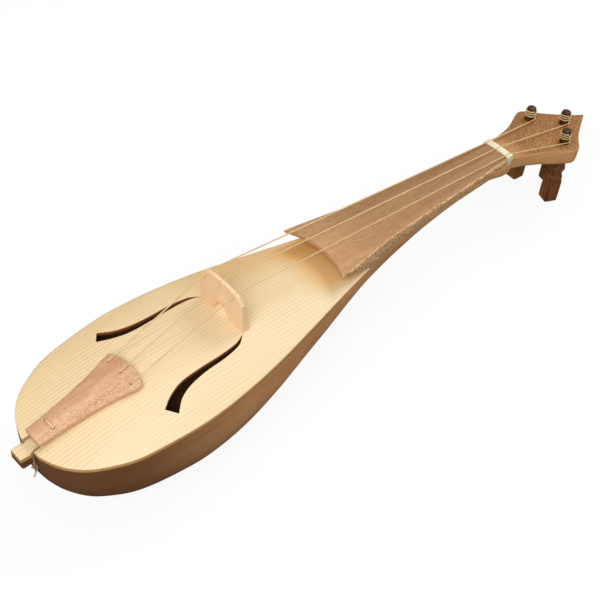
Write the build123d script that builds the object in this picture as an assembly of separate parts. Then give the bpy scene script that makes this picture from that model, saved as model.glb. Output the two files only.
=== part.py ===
import os
from math import cos, pi, radians, sin, sqrt, tan

from build123d import *

# Rebec: a carved pear-shaped bowl with its neck and leaf-shaped head in one piece,
# an arched soundboard, and three gut strings held by three rear pegs.
# Sizes are in mm. While the parts are made, X runs from the end of the tail stub
# to the tip of the head, Y is positive on the left of the instrument's tail-to-head
# view, and Z is measured from the highest point of the soundboard's rim.

# Main sizes
STRING_LENGTH = 330.0
BRIDGE_X = 197.0
NUT_X = BRIDGE_X + STRING_LENGTH
BOARD_END_X = 335.0
RIM_RADIUS = 3500.0
RIM_APEX_X = 212.0
NUT_THICKNESS = 6.8
NUT_FRONT_X = NUT_X - NUT_THICKNESS / 2
NUT_BACK_X = NUT_FRONT_X + NUT_THICKNESS
NECK_DRAWN_LENGTH = 188.6
NECK_STRETCH = (NUT_FRONT_X - BOARD_END_X) / NECK_DRAWN_LENGTH


def along_neck(x):
    """Station on the neck as built, from a station on the neck as drawn."""
    return x if x <= BOARD_END_X else BOARD_END_X + (x - BOARD_END_X) * NECK_STRETCH


# Turn about Y that brings the bowl and the middle peg to the ground together
REST_TILT = 0.575

# Soundboard
BOARD_EDGE = 3.6
BOARD_CENTRE = 3.2
BOARD_ARCH = 12.9
BOARD_LEDGE = 8.0

# Bowl, neck: station along X, half width at the rim, depth below the rim
HULL = [
    (12.0, 12.0, 25.0),
    (16.0, 23.5, 35.0),
    (22.0, 34.5, 44.0),
    (32.0, 45.5, 52.5),
    (46.0, 54.5, 59.5),
    (66.0, 63.0, 66.0),
    (95.0, 67.6, 72.0),
    (130.0, 70.0, 75.0),
    (170.0, 67.0, 72.0),
    (210.0, 60.3, 61.0),
    (250.0, 51.0, 48.0),
    (290.0, 41.0, 39.0),
    (335.0, 30.2, 33.0),
    (357.0, 26.2, 30.0),
    (380.0, 23.4, 24.5),
    (410.0, 20.6, 16.5),
    (450.0, 18.0, 11.0),
    (490.0, 16.4, 11.5),
    (536.0, 14.4, 12.5),
]
HULL = [(along_neck(x), half, depth) for x, half, depth in HULL]
HULL_LIP = 6.0
WALL_SIDE = 6.0
WALL_FLOOR = 5.0
CAVITY_FIRST = 2
CAVITY_LAST = 11
BOARD_LAST = 12

# Tail stub and saddle
STUB_HALF = 6.8
STUB_BOTTOM = -17.0
SADDLE_TOP = -5.4
SADDLE_BOTTOM = -9.4
SADDLE_END_X = 17.5
GROOVE_X = 10.6
GROOVE_WIDTH = 2.2
GROOVE_DEPTH = 1.0

# Fingerboard: station, half width of the top, half width of the foot
FINGERBOARD = [
    (292.0, 37.4, 36.8),
    (315.0, 34.2, 33.4),
    (335.0, 31.0, 30.2),
    (357.0, 27.6, 26.2),
    (380.0, 25.2, 23.4),
    (410.0, 23.2, 20.6),
    (450.0, 20.6, 18.0),
    (490.0, 18.0, 16.4),
    (530.0, 15.3, 14.8),
]
FINGERBOARD = [(along_neck(x), top_half, foot_half) for x, top_half, foot_half in FINGERBOARD]
FINGERBOARD_END_X = 295.5
FINGERBOARD_END_SAG = 9.5
FINGERBOARD_END_HALF = 37.0
FINGERBOARD_TOP_TAIL = 17.7
FINGERBOARD_TOP_NUT = 6.2
FINGERBOARD_CROWN = 1.6
FINGERBOARD_LIP = 3.7

# Nut
NUT_HALF = 15.3
NUT_TOP = 8.2
NUT_CROWN = 0.7
NUT_STRING_GAP = 12.0
NUT_STRING_Z = 8.7

# Head: leaf-shaped plate, tilted back
HEAD_TILT = 10.0
HEAD_START_Z = 3.5
HEAD_THICKNESS = 18.5
HEAD_ROOT_THICKNESS = 13.5
HEAD_FULL_AT = 52.0
HEAD_LENGTH = 128.0

# Bridge
BRIDGE_FRONT_X = 196.5
BRIDGE_FOOT_THICKNESS = 7.0
BRIDGE_TOP_THICKNESS = 4.6
BRIDGE_STRING_GAP = 17.0
BRIDGE_STRING_Z = 49.2
BRIDGE_STRING_DROP = 2.2

# Tailpiece
TAILPIECE_START_X = 15.7
TAILPIECE_RISE = 8.3
TAILPIECE_THICKNESS = 4.5
TAILPIECE_FOOT_Z = -1.1
TAILPIECE_START_Z = TAILPIECE_FOOT_Z + TAILPIECE_THICKNESS
TAILPIECE_HOLE_X = 82.0
TAILPIECE_HOLE_GAP = 14.5
TAILPIECE_HOLE_RADIUS = 1.0
TAILPIECE_RECESS_RADIUS = 2.3
TAILPIECE_ROOF = 1.4
GUT_HOLE_X = 16.0
GUT_HOLE_GAP = 5.3
GUT_HOLE_RADIUS = 1.5

# Strings, from the lowest to the highest
PITCHES = ["low", "middle", "high"]
STRING_RADII = [0.65, 0.60, 0.55]
STRING_BEND = 0.9
STRING_KNOT_RADIUS = 1.7
STRING_NOTCH_GAP = 0.06
TAIL_GUT_RADIUS = 0.8
TAIL_GUT_BEND = 1.3
TAIL_KNOT_RADIUS = 2.0
SEAT_GAP = 0.1

# Pegs: seats on the head, measured along the plate from its start
PEG_SEATS = [(69.0, 22.0), (96.0, 0.0), (69.0, -22.0)]
PEG_TIP_RADIUS = 4.4
PEG_TIP_LENGTH = 14.2
PEG_SHAFT_TOP_RADIUS = 4.44
PEG_SHAFT_FOOT_RADIUS = 5.4
PEG_CLEARANCE = 0.06
PEG_SHOULDER_GAP = 0.9
PEG_TILT = 4.0
PEG_COLLAR_LENGTH = 23.0
PEG_COLLAR_RADIUS = 7.6
PEG_BEAD_RADIUS = 8.4
PEG_HANDLE_SIDE = 13.5
PEG_HANDLE_LENGTH = 25.0
PEG_HANDLE_TURNS = [-2.0, -12.0, -21.0]

# String windings on the pegs
WINDING_TURNS = 3
WINDING_PITCH = 2.5
WINDING_START = 4.3
WINDING_GAP = 0.05
STRING_ARRIVAL = 2.3
STRING_PEG_GAP = 0.3


def rim_z(x):
    """Height of the soundboard's top edge at x."""
    return -((x - RIM_APEX_X) ** 2) / (2 * RIM_RADIUS)


NECK_TOP = rim_z(BOARD_END_X)


def chord_z(x):
    """Height of the rim over the bowl, and of the flat neck beyond it."""
    return rim_z(min(x, BOARD_END_X))


def smooth(stations, column, x):
    """Value at x of a smooth curve through one column of the stations."""
    last = len(stations) - 1
    i = max(k for k in range(last) if stations[k][0] <= x or k == 0)

    def slope(k):
        before = stations[max(k - 1, 0)]
        after = stations[min(k + 1, last)]
        return (after[column] - before[column]) / (after[0] - before[0])

    span = stations[i + 1][0] - stations[i][0]
    t = (x - stations[i][0]) / span
    start = stations[i][column]
    end = stations[i + 1][column]
    into = slope(i) * span
    out = slope(i + 1) * span
    bend_in = (t ** 3 - 2 * t ** 2 + t) * into
    bend_out = (t ** 3 - t ** 2) * out
    ease = 3 * t ** 2 - 2 * t ** 3
    return start * (1 - ease) + end * ease + bend_in + bend_out


def fine_stations(first, last):
    """Hull stations from first to last with more stations between the given ones."""
    fine = []
    for (x0, _, _), (x1, _, _) in zip(HULL[first:last], HULL[first + 1 : last + 1]):
        steps = 3 if x1 - x0 > 30 else 2
        fine += [x0 + (x1 - x0) * k / steps for k in range(steps)]
    fine.append(HULL[last][0])
    return [(x, smooth(HULL, 1, x), smooth(HULL, 2, x)) for x in fine]


def arch_share(x):
    """Share of the full soundboard arch that is reached at x."""
    if x < 120.0:
        return max(0.02, sin(pi / 2 * max(0.0, (x - 12.0) / 108.0)) ** 1.25)
    if x < 190.0:
        return 1.0
    return 0.15 + 0.85 * cos(pi / 2 * min(1.0, (x - 190.0) / 145.0)) ** 1.5


def cross_plane(x, z=0.0):
    """Plane across the instrument: local X is world Y, local Y is world Z."""
    return Plane(origin=(x, 0, z), x_dir=(0, 1, 0), z_dir=(1, 0, 0))


def hull_section(x, half, depth):
    """Closed section of the bowl or neck, a full curve under two short upright lips."""
    fullness = 2.8 - 0.6 * min(1.0, max(0.0, (x - 290.0) / 80.0))
    swell = 0.08 * min(1.0, max(0.0, (335.0 - x) / 60.0)) * min(1.0, (x - 6.0) / 30.0)
    points = []
    for degrees in (0, 8, 18, 32, 50, 70, 90, 110, 130, 148, 162, 172, 180):
        t = radians(degrees)
        side = 1 if degrees < 90 else -1
        across = abs(cos(t)) ** (2 / fullness) if degrees != 90 else 0.0
        down = abs(sin(t)) ** (2 / fullness) if degrees not in (0, 180) else 0.0
        width = half * (1 + swell * abs(sin(2 * t)))
        points.append((side * width * across, -depth * down))
    with BuildSketch(cross_plane(x, chord_z(x))) as sketch:
        with BuildLine():
            Spline(*points, tangents=[(0, -1), (0, 1)])
            Polyline((-half, 0), (-half, HULL_LIP), (half, HULL_LIP), (half, 0))
        make_face()
    return sketch.sketch


def dome_section(x, half, edge, centre, floor):
    """Section under an arc that rises from edge height at half to centre height."""
    rise = centre - edge
    radius = (half ** 2 + rise ** 2) / (2 * rise)
    reach = half + 1.5
    low = centre - radius + sqrt(radius ** 2 - reach ** 2)
    with BuildSketch(cross_plane(x)) as sketch:
        with BuildLine():
            ThreePointArc((-reach, low), (0, centre), (reach, low))
            Polyline((reach, low), (reach, floor), (-reach, floor), (-reach, low))
        make_face()
    return sketch.sketch


def side_prism(points, half):
    """Prism across the instrument with a straight-sided XZ outline."""
    with BuildSketch(Plane.XZ) as sketch:
        with BuildLine():
            Polyline(*points, close=True)
        make_face()
    return extrude(sketch.sketch, amount=half, both=True)


def plan_prism(edges_maker, low, high):
    """Upright prism between two heights over a closed plan outline."""
    with BuildSketch(Plane.XY.offset(low)) as sketch:
        with BuildLine():
            edges_maker()
        make_face()
    return extrude(sketch.sketch, amount=high - low)


def block(x0, x1, y0, y1, z0, z1):
    """Box between two corners."""
    return Pos((x0 + x1) / 2, (y0 + y1) / 2, (z0 + z1) / 2) * Box(x1 - x0, y1 - y0, z1 - z0)


def tube_along(points, radius, bend):
    """Round tube along straight runs that are joined by tangent arcs."""
    corners = [Vector(*p) for p in points]
    edges = []
    start = corners[0]
    for before, corner, after in zip(corners, corners[1:], corners[2:]):
        into = (corner - before).normalized()
        out = (after - corner).normalized()
        turn = radians(into.get_angle(out))
        setback = bend * tan(turn / 2)
        first = corner - into * setback
        last = corner + out * setback
        middle_dir = (out - into).normalized()
        middle = corner + middle_dir * (bend / cos(turn / 2) - bend)
        edges.append(Edge.make_line(start, first))
        edges.append(Edge.make_three_point_arc(first, middle, last))
        start = last
    edges.append(Edge.make_line(start, corners[-1]))
    path = Wire(edges)
    mouth = Plane(origin=path @ 0, z_dir=path % 0)
    return sweep(mouth * Circle(radius), path=path)


def joined(shape):
    """The shape as its single largest solid."""
    return sorted(shape.solids(), key=lambda s: s.volume)[-1]


# Soundboard outline and shared cutting solids
def board_outline():
    """The soundboard's edge in plan, both sides from one table of half widths."""
    left = [(x, half) for x, half, _ in BOARD_STATIONS]
    right = [(x, -half) for x, half in reversed(left)]
    Spline(*left)
    Line(left[-1], right[0])
    Spline(*right)
    Line(right[-1], left[0])


def under_board():
    """Everything below the flat underside of the soundboard's edge."""
    ends = [-20.0, 165.0, 350.0]
    arc = [(x, rim_z(x) - BOARD_EDGE) for x in ends]
    with BuildSketch(Plane.XZ) as sketch:
        with BuildLine():
            ThreePointArc(*arc)
            Polyline(arc[2], (350.0, -60.0), (-20.0, -60.0), arc[0])
        make_face()
    return extrude(sketch.sketch, amount=90.0, both=True)


BELOW = under_board()
BOARD_STATIONS = fine_stations(0, BOARD_LAST)
CAVITY_STATIONS = fine_stations(CAVITY_FIRST, CAVITY_LAST)
OUTER_DOME = loft(
    [
        dome_section(x, half, rim_z(x), rim_z(x) + BOARD_ARCH * arch_share(x), -30.0)
        for x, half, _ in [(4.0, 12.0, 0)] + BOARD_STATIONS + [(345.0, 29.0, 0)]
    ],
    ruled=True,
)
INNER_DOME = loft(
    [
        dome_section(
            x,
            half - BOARD_LEDGE,
            rim_z(x) + BOARD_ARCH * arch_share(x) * (1 - (1 - BOARD_LEDGE / half) ** 2) - BOARD_EDGE,
            rim_z(x) + BOARD_ARCH * arch_share(x) - BOARD_CENTRE,
            -30.0,
        )
        for x, half, _ in CAVITY_STATIONS
    ],
    ruled=True,
)
CAVITY = loft(
    [hull_section(x, half - WALL_SIDE, depth - WALL_FLOOR) for x, half, depth in CAVITY_STATIONS],
    ruled=True,
)

# Sound holes: a broad slanted end that narrows in a double curve to the bridge foot
HOLE_INNER = [(105.5, 44.5), (116.0, 38.0), (130.0, 33.2), (150.0, 32.0), (170.0, 32.0), (187.0, 30.6)]
HOLE_OUTER = [(112.0, 53.0), (122.0, 44.6), (134.0, 39.8), (152.0, 37.0), (172.0, 36.0), (188.0, 33.0)]
HOLE_TIP = (196.0, 27.2)


def sound_hole(side):
    """A cutter for one sound hole; side is 1 or -1."""
    def edges():
        inner = [(x, side * y) for x, y in HOLE_INNER]
        outer = [(x, side * y) for x, y in HOLE_OUTER]
        tip = (HOLE_TIP[0], side * HOLE_TIP[1])
        Spline(*inner, tip)
        Spline(*outer, tip)
        Line(inner[0], outer[0])

    return plan_prism(edges, -20.0, 30.0)


def saddle_outline():
    """The saddle in plan, a strip that narrows toward the tail."""
    near = [(0.0, -6.6), (10.8, -7.2), (10.8, -9.6), (SADDLE_END_X, -8.2)]
    far = [(x, -y) for x, y in reversed(near)]
    Polyline(*near, *far, close=True)


SADDLE_BLANK = plan_prism(saddle_outline, SADDLE_BOTTOM, SADDLE_TOP)

soundboard = plan_prism(board_outline, -20.0, 25.0) & OUTER_DOME
soundboard = soundboard - BELOW - INNER_DOME - SADDLE_BLANK
soundboard = soundboard - sound_hole(1) - sound_hole(-1)
soundboard = joined(soundboard)

# Head plate, in its own tilted plane
HEAD_PLANE = Plane(
    origin=(NUT_BACK_X, 0, HEAD_START_Z),
    x_dir=(cos(radians(HEAD_TILT)), 0, -sin(radians(HEAD_TILT))),
    z_dir=(sin(radians(HEAD_TILT)), 0, cos(radians(HEAD_TILT))),
)


def head_plate():
    """The leaf-shaped head as a flat plate in its own plane."""
    flare = [(-6.0, 14.9), (6.0, 16.6), (24.0, 20.0), (40.0, 24.2), (54.0, 30.4), (65.0, 35.6)]
    shoulder = [(HEAD_LENGTH - 56.5, 37.4), (HEAD_LENGTH - 50.0, 34.6)]
    ogee = [
        (HEAD_LENGTH - 40.0, 26.0),
        (HEAD_LENGTH - 32.0, 20.0),
        (HEAD_LENGTH - 22.0, 13.6),
        (HEAD_LENGTH - 10.0, 6.6),
    ]
    with BuildSketch(HEAD_PLANE) as sketch:
        with BuildLine():
            for side in (1, -1):
                side_flare = [(x, side * y) for x, y in flare]
                peak, after = [(x, side * y) for x, y in shoulder]
                side_ogee = [(x, side * y) for x, y in ogee]
                Spline(*side_flare, peak, after)
                Spline(after, *side_ogee, (HEAD_LENGTH, 0))
            Line((-6.0, 14.9), (-6.0, -14.9))
        make_face()
    plate = extrude(sketch.sketch, amount=-HEAD_THICKNESS)
    wedge = side_prism(
        [
            (-20.0, -HEAD_ROOT_THICKNESS),
            (0.0, -HEAD_ROOT_THICKNESS),
            (HEAD_FULL_AT, -HEAD_THICKNESS),
            (HEAD_FULL_AT, -HEAD_THICKNESS - 5.0),
            (-20.0, -HEAD_THICKNESS - 5.0),
        ],
        60.0,
    )
    return plate - HEAD_PLANE.location * wedge


# Bowl, neck and head in one piece
body = loft([hull_section(*station) for station in fine_stations(0, len(HULL) - 1)], ruled=True)
stub = block(0.0, 16.0, -STUB_HALF, STUB_HALF, STUB_BOTTOM, SADDLE_BOTTOM)
stub = chamfer(stub.edges().filter_by(Axis.Y).group_by(Axis.Z)[0].sort_by(Axis.X)[:1], 1.5)
body = body - (block(-20.0, BOARD_END_X, -90.0, 90.0, -20.0, 30.0) - BELOW)
body = body - block(BOARD_END_X - 1.0, NUT_BACK_X + 9.6, -60.0, 60.0, NECK_TOP, 30.0)
body = body + head_plate() + stub
body = body - block(NUT_FRONT_X - 23.6, NUT_BACK_X, -40.0, 40.0, NECK_TOP, 30.0)
body = body - CAVITY - SADDLE_BLANK
groove = block(
    GROOVE_X - GROOVE_WIDTH / 2, GROOVE_X + GROOVE_WIDTH / 2, -20.0, 20.0, STUB_BOTTOM - 5, SADDLE_TOP + 5
) - block(
    GROOVE_X - 5,
    GROOVE_X + 5,
    -STUB_HALF + GROOVE_DEPTH,
    STUB_HALF - GROOVE_DEPTH,
    STUB_BOTTOM + GROOVE_DEPTH,
    SADDLE_TOP + 9,
)
body = body - groove
saddle = joined(SADDLE_BLANK - groove)


def on_head(u, v):
    """Location on the head's front face, with Z along its normal."""
    return HEAD_PLANE.location * Pos(u, v, 0)


def on_peg(u, v):
    """Location of a peg: its seat on the face, with Z along the leaning axis."""
    return on_head(u, v) * Rot(0, -PEG_TILT, 0)


def shaft_radius(s):
    """Radius of the peg's taper at height s over the front face."""
    share = -s / HEAD_THICKNESS
    return PEG_SHAFT_TOP_RADIUS + (PEG_SHAFT_FOOT_RADIUS - PEG_SHAFT_TOP_RADIUS) * share


def peg_bore():
    """A tapered cutter for one peg's hole, longer than the head is thick."""
    over, under = 3.0, -HEAD_THICKNESS - 3.0
    with BuildSketch(Plane.XZ) as sketch:
        with BuildLine():
            Polyline(
                (0, under),
                (shaft_radius(under) + PEG_CLEARANCE, under),
                (shaft_radius(over) + PEG_CLEARANCE, over),
                (0, over),
                close=True,
            )
        make_face()
    return revolve(sketch.sketch, axis=Axis.Z)


for seat in PEG_SEATS:
    body = body - on_peg(*seat) * peg_bore()
body = joined(body)

# Fingerboard: a wedge, cut to an arc and undercut where it leaves the neck
def fingerboard_edge_z(x):
    """Height of the fingerboard's upper edge, straight from end to nut."""
    run = (x - FINGERBOARD_END_X) / (NUT_FRONT_X - FINGERBOARD_END_X)
    return FINGERBOARD_TOP_TAIL + (FINGERBOARD_TOP_NUT - FINGERBOARD_TOP_TAIL) * run


def fingerboard_section(x, top_half, foot_half):
    """A cross-section of the fingerboard with a crowned top."""
    top = fingerboard_edge_z(x)
    with BuildSketch(cross_plane(x)) as sketch:
        with BuildLine():
            Polyline((top_half, top), (foot_half, NECK_TOP), (-foot_half, NECK_TOP), (-top_half, top))
            ThreePointArc((-top_half, top), (0, top + FINGERBOARD_CROWN), (top_half, top))
        make_face()
    return sketch.sketch


def fingerboard_scoop():
    """Space in front of the curved end, slanting back under the board's lip."""
    radius = (FINGERBOARD_END_HALF ** 2 + FINGERBOARD_END_SAG ** 2) / (2 * FINGERBOARD_END_SAG)
    centre = FINGERBOARD_END_X + FINGERBOARD_END_SAG - radius
    lip = FINGERBOARD_TOP_TAIL - FINGERBOARD_LIP
    slope = (BOARD_END_X - FINGERBOARD_END_X) / (lip - NECK_TOP)
    low = -8.0
    upright = Pos(centre, 0, (lip + 40.0) / 2) * Cylinder(radius, 40.0 - lip)
    slant = loft(
        [
            Pos(centre + slope * (lip - low), 0, low) * Circle(radius),
            Pos(centre, 0, lip) * Circle(radius),
        ],
        ruled=True,
    )
    return upright + slant


fingerboard = loft([fingerboard_section(*station) for station in FINGERBOARD], ruled=True)
behind_nut = block(NUT_FRONT_X, NUT_BACK_X + 30.0, -60.0, 60.0, -20.0, 40.0)
fingerboard = fingerboard - fingerboard_scoop() - behind_nut
fingerboard = joined(fingerboard)

# Nut
with BuildSketch(cross_plane(NUT_FRONT_X)) as nut_sketch:
    with BuildLine():
        foot_half = NUT_HALF - 0.4
        Polyline((NUT_HALF, NUT_TOP), (foot_half, NECK_TOP), (-foot_half, NECK_TOP), (-NUT_HALF, NUT_TOP))
        ThreePointArc((-NUT_HALF, NUT_TOP), (0, NUT_TOP + NUT_CROWN), (NUT_HALF, NUT_TOP))
    make_face()
nut = extrude(nut_sketch.sketch, amount=NUT_BACK_X - NUT_FRONT_X)
nut = chamfer(nut.faces().sort_by(Axis.Z)[-1].edges().filter_by(GeomType.CIRCLE), 1.0)

# Bridge: two legs, an arch between them, sloping shoulders
def bridge_outline():
    """The bridge seen along the strings, without its arch."""
    right = [(26.5, 6.0), (25.7, 39.6), (24.2, 41.2), (20.4, 46.4)]
    left = [(-y, z) for y, z in reversed(right)]
    Polyline(*right)
    ThreePointArc(right[-1], (0.0, 49.6), left[0])
    Polyline(*left)
    Line(left[-1], right[0])


def bridge_arch():
    """The gap between the bridge's feet, with its round top."""
    Line((-9.4, 4.0), (9.4, 4.0))
    Line((9.4, 4.0), (9.0, 10.5))
    ThreePointArc((9.0, 10.5), (8.0, 17.0), (4.6, 21.4))
    ThreePointArc((4.6, 21.4), (0.0, 22.6), (-4.6, 21.4))
    ThreePointArc((-4.6, 21.4), (-8.0, 17.0), (-9.0, 10.5))
    Line((-9.0, 10.5), (-9.4, 4.0))


def cross_prism(edges_maker, x, length):
    """An outline across the instrument, carried along it from x."""
    with BuildSketch(cross_plane(x)) as sketch:
        with BuildLine():
            edges_maker()
        make_face()
    return extrude(sketch.sketch, amount=length)


bridge = cross_prism(bridge_outline, BRIDGE_FRONT_X, BRIDGE_FOOT_THICKNESS)
bridge = bridge - cross_prism(bridge_arch, BRIDGE_FRONT_X - 1, BRIDGE_FOOT_THICKNESS + 2)
back_x = BRIDGE_FRONT_X + BRIDGE_FOOT_THICKNESS
top_back_x = BRIDGE_FRONT_X + BRIDGE_TOP_THICKNESS
behind_bridge = [(back_x, 14.0), (top_back_x, 50.0), (back_x + 4, 52.0), (back_x + 4, 14.0)]
bridge = bridge - side_prism(behind_bridge, 40.0)
bridge = bridge - OUTER_DOME

# Bass bar and sound post inside the bowl
bass_bar = block(78.0, 262.0, 17.0, 22.0, -30.0, 20.0) & INNER_DOME
below_bar = [
    (70.0, -40.0), (70.0, -6.0), (100.0, -2.0), (190.0, 0.0),
    (240.0, -2.0), (270.0, -8.0), (270.0, -40.0),
]
bass_bar = bass_bar - side_prism(below_bar, 60.0)
bass_bar = joined(bass_bar)
sound_post = Pos(209.0, -20.0, 0.0) * Cylinder(3.0, 200.0)
sound_post = joined(sound_post & (CAVITY + INNER_DOME) & block(150.0, 260.0, -40.0, 0.0, -90.0, 30.0))

# Tailpiece, in its own rising plane
TAILPIECE_PLANE = Plane(
    origin=(TAILPIECE_START_X, 0, TAILPIECE_START_Z),
    x_dir=(cos(radians(TAILPIECE_RISE)), 0, sin(radians(TAILPIECE_RISE))),
    z_dir=(-sin(radians(TAILPIECE_RISE)), 0, cos(radians(TAILPIECE_RISE))),
)


def on_tailpiece(u, v, w=0.0):
    """World point at u along, v across and w above the tailpiece's top face."""
    return TAILPIECE_PLANE.from_local_coords(Vector(u, v, w))


with BuildSketch(TAILPIECE_PLANE) as tailpiece_sketch:
    with BuildLine():
        flare = [
            (0.0, 9.5), (18.0, 10.4), (35.0, 12.0), (50.0, 13.9),
            (65.0, 16.4), (77.0, 19.3), (87.0, 21.2),
        ]
        mirror_flare = [(u, -v) for u, v in flare]
        Spline(*flare)
        Spline(*mirror_flare)
        ThreePointArc(flare[-1], (92.0, 0.0), mirror_flare[-1])
        Line(flare[0], mirror_flare[0])
    make_face()
tailpiece = extrude(tailpiece_sketch.sketch, amount=-TAILPIECE_THICKNESS)
tailpiece_top = tailpiece.faces().sort_by(Axis(TAILPIECE_PLANE.origin, TAILPIECE_PLANE.z_dir))[-1]
tailpiece = chamfer(tailpiece_top.edges(), 0.8)
string_hole = Cylinder(TAILPIECE_HOLE_RADIUS, 20.0)
string_hole = string_hole + Pos(0, 0, -TAILPIECE_ROOF - 5.0) * Cylinder(TAILPIECE_RECESS_RADIUS, 10.0)
gut_hole = Cylinder(GUT_HOLE_RADIUS, 20.0)
for side in (1, 0, -1):
    seat = Pos(TAILPIECE_HOLE_X, side * TAILPIECE_HOLE_GAP, 0)
    tailpiece = tailpiece - TAILPIECE_PLANE.location * seat * string_hole
for side in (1, -1):
    tailpiece = tailpiece - TAILPIECE_PLANE.location * Pos(GUT_HOLE_X, side * GUT_HOLE_GAP, 0) * gut_hole

# Tail gut: one loop from the knot under the stub, over the saddle and through the tailpiece
gut_out = STUB_HALF - GROOVE_DEPTH + TAIL_GUT_RADIUS + SEAT_GAP
gut_under = STUB_BOTTOM + GROOVE_DEPTH - TAIL_GUT_RADIUS - SEAT_GAP
gut_top = SADDLE_TOP + TAIL_GUT_RADIUS + SEAT_GAP
gut_foot = -TAILPIECE_THICKNESS - TAIL_GUT_RADIUS
gut_head = TAIL_GUT_RADIUS + SEAT_GAP
knot_out = STUB_HALF + 1.4
knot_under = STUB_BOTTOM - 1.7
knot_centre = Vector(GROOVE_X - 1.0, -knot_out, knot_under)
gut_route = [
    (GROOVE_X - 0.6, -knot_out, knot_under + 0.4),
    (GROOVE_X, -gut_out, gut_under + 2.2),
    (GROOVE_X, -gut_out, gut_top),
    tuple(on_tailpiece(GUT_HOLE_X, -GUT_HOLE_GAP, gut_foot)),
    tuple(on_tailpiece(GUT_HOLE_X, -GUT_HOLE_GAP, gut_head)),
    tuple(on_tailpiece(GUT_HOLE_X, GUT_HOLE_GAP, gut_head)),
    tuple(on_tailpiece(GUT_HOLE_X, GUT_HOLE_GAP, gut_foot)),
    (GROOVE_X, gut_out, gut_top),
    (GROOVE_X, gut_out, gut_under),
    (GROOVE_X, -gut_out + 2.6, gut_under),
]
tail_gut = tube_along(gut_route, TAIL_GUT_RADIUS, TAIL_GUT_BEND)
link_route = [(GROOVE_X, -gut_out + 3.2, gut_under), tuple(knot_centre)]
gut_link = tube_along(link_route, TAIL_GUT_RADIUS - 0.02, 1.0)
knot = Location(knot_centre) * Sphere(TAIL_KNOT_RADIUS)
loose_end = tube_along(
    [
        tuple(knot_centre),
        (GROOVE_X - 2.0, -knot_out - 1.4, knot_under - 3.0),
        (GROOVE_X - 4.5, -knot_out - 2.2, knot_under - 7.0),
    ],
    TAIL_GUT_RADIUS,
    3.0,
)
tail_gut = joined(tail_gut + gut_link + knot + loose_end)


# Strings, whole from the knot under the tailpiece to the peg
def peg_point(seat, s, angle, radius):
    """World point around a peg's axis, at height s over the head's face."""
    place = on_peg(*PEG_SEATS[seat]) * Pos(radius * cos(angle), radius * sin(angle), s)
    return place.position


def string_knot_centre(index):
    """Centre of the knot that rests against the roof of its recess."""
    knot_drop = TAILPIECE_ROOF + STRING_KNOT_RADIUS + SEAT_GAP / 2
    return on_tailpiece(TAILPIECE_HOLE_X, (1 - index) * TAILPIECE_HOLE_GAP, -knot_drop)


def string_route(index):
    """Corners of a string: knot, tailpiece hole, bridge, nut, side of its peg."""
    side = 1 - index
    radius = STRING_RADII[index]
    seat = index
    reach = PEG_TIP_RADIUS + STRING_PEG_GAP + radius
    end = peg_point(seat, STRING_ARRIVAL, -pi / 2, reach)
    return [
        tuple(string_knot_centre(index)),
        tuple(on_tailpiece(TAILPIECE_HOLE_X, side * TAILPIECE_HOLE_GAP, radius + SEAT_GAP)),
        (
            (BRIDGE_FRONT_X + top_back_x) / 2,
            side * BRIDGE_STRING_GAP,
            BRIDGE_STRING_Z - BRIDGE_STRING_DROP * abs(side),
        ),
        (NUT_X, side * NUT_STRING_GAP, NUT_STRING_Z - 0.4 * abs(side)),
        tuple(end),
    ]


def string_solid(index, extra=0.0):
    """The string swept along its route."""
    return tube_along(string_route(index), STRING_RADII[index] + extra, STRING_BEND)


strings = []
for index in range(3):
    string_knot = Location(string_knot_centre(index)) * Sphere(STRING_KNOT_RADIUS)
    strings.append(joined(string_solid(index) + string_knot))
    notch = string_solid(index, STRING_NOTCH_GAP)
    bridge = bridge - notch
    nut = nut - notch
bridge = joined(bridge)
nut = joined(nut)


# Pegs
def peg_solid(handle_turn):
    """One turned peg with its square handle, upright on its own axis."""
    foot = -HEAD_THICKNESS - PEG_SHOULDER_GAP
    collar_end = foot - PEG_COLLAR_LENGTH
    with BuildSketch(Plane.XZ) as sketch:
        with BuildLine():
            Polyline(
                (0, PEG_TIP_LENGTH),
                (PEG_TIP_RADIUS - 1.6, PEG_TIP_LENGTH),
            )
            ThreePointArc(
                (PEG_TIP_RADIUS - 1.6, PEG_TIP_LENGTH),
                (PEG_TIP_RADIUS - 0.45, PEG_TIP_LENGTH - 0.5),
                (PEG_TIP_RADIUS, PEG_TIP_LENGTH - 1.7),
            )
            Polyline(
                (PEG_TIP_RADIUS, PEG_TIP_LENGTH - 1.7),
                (PEG_TIP_RADIUS, 0.6),
                (shaft_radius(0.0), 0.0),
                (shaft_radius(foot), foot),
                (PEG_COLLAR_RADIUS, foot),
                (PEG_COLLAR_RADIUS, foot - 6.9),
            )
            ThreePointArc(
                (PEG_COLLAR_RADIUS, foot - 6.9),
                (PEG_BEAD_RADIUS, foot - 9.0),
                (PEG_COLLAR_RADIUS, foot - 11.1),
            )
            Line((PEG_COLLAR_RADIUS, foot - 11.1), (PEG_COLLAR_RADIUS - 0.4, foot - 17.6))
            ThreePointArc(
                (PEG_COLLAR_RADIUS - 0.4, foot - 17.6),
                (PEG_BEAD_RADIUS, foot - 20.2),
                (PEG_COLLAR_RADIUS, foot - PEG_COLLAR_LENGTH),
            )
            Polyline((PEG_COLLAR_RADIUS, collar_end), (0, collar_end), (0, PEG_TIP_LENGTH))
        make_face()
    turned = revolve(sketch.sketch, axis=Axis.Z)
    handle = Pos(0, 0, collar_end - PEG_HANDLE_LENGTH / 2 + 1.0) * Box(
        PEG_HANDLE_SIDE, PEG_HANDLE_SIDE, PEG_HANDLE_LENGTH + 2.0
    )
    handle = chamfer(handle.edges().filter_by(Axis.Z), 1.0)
    handle = fillet(handle.faces().sort_by(Axis.Z)[0].edges(), 0.9)
    return joined(turned + Rot(0, 0, handle_turn) * handle)


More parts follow.
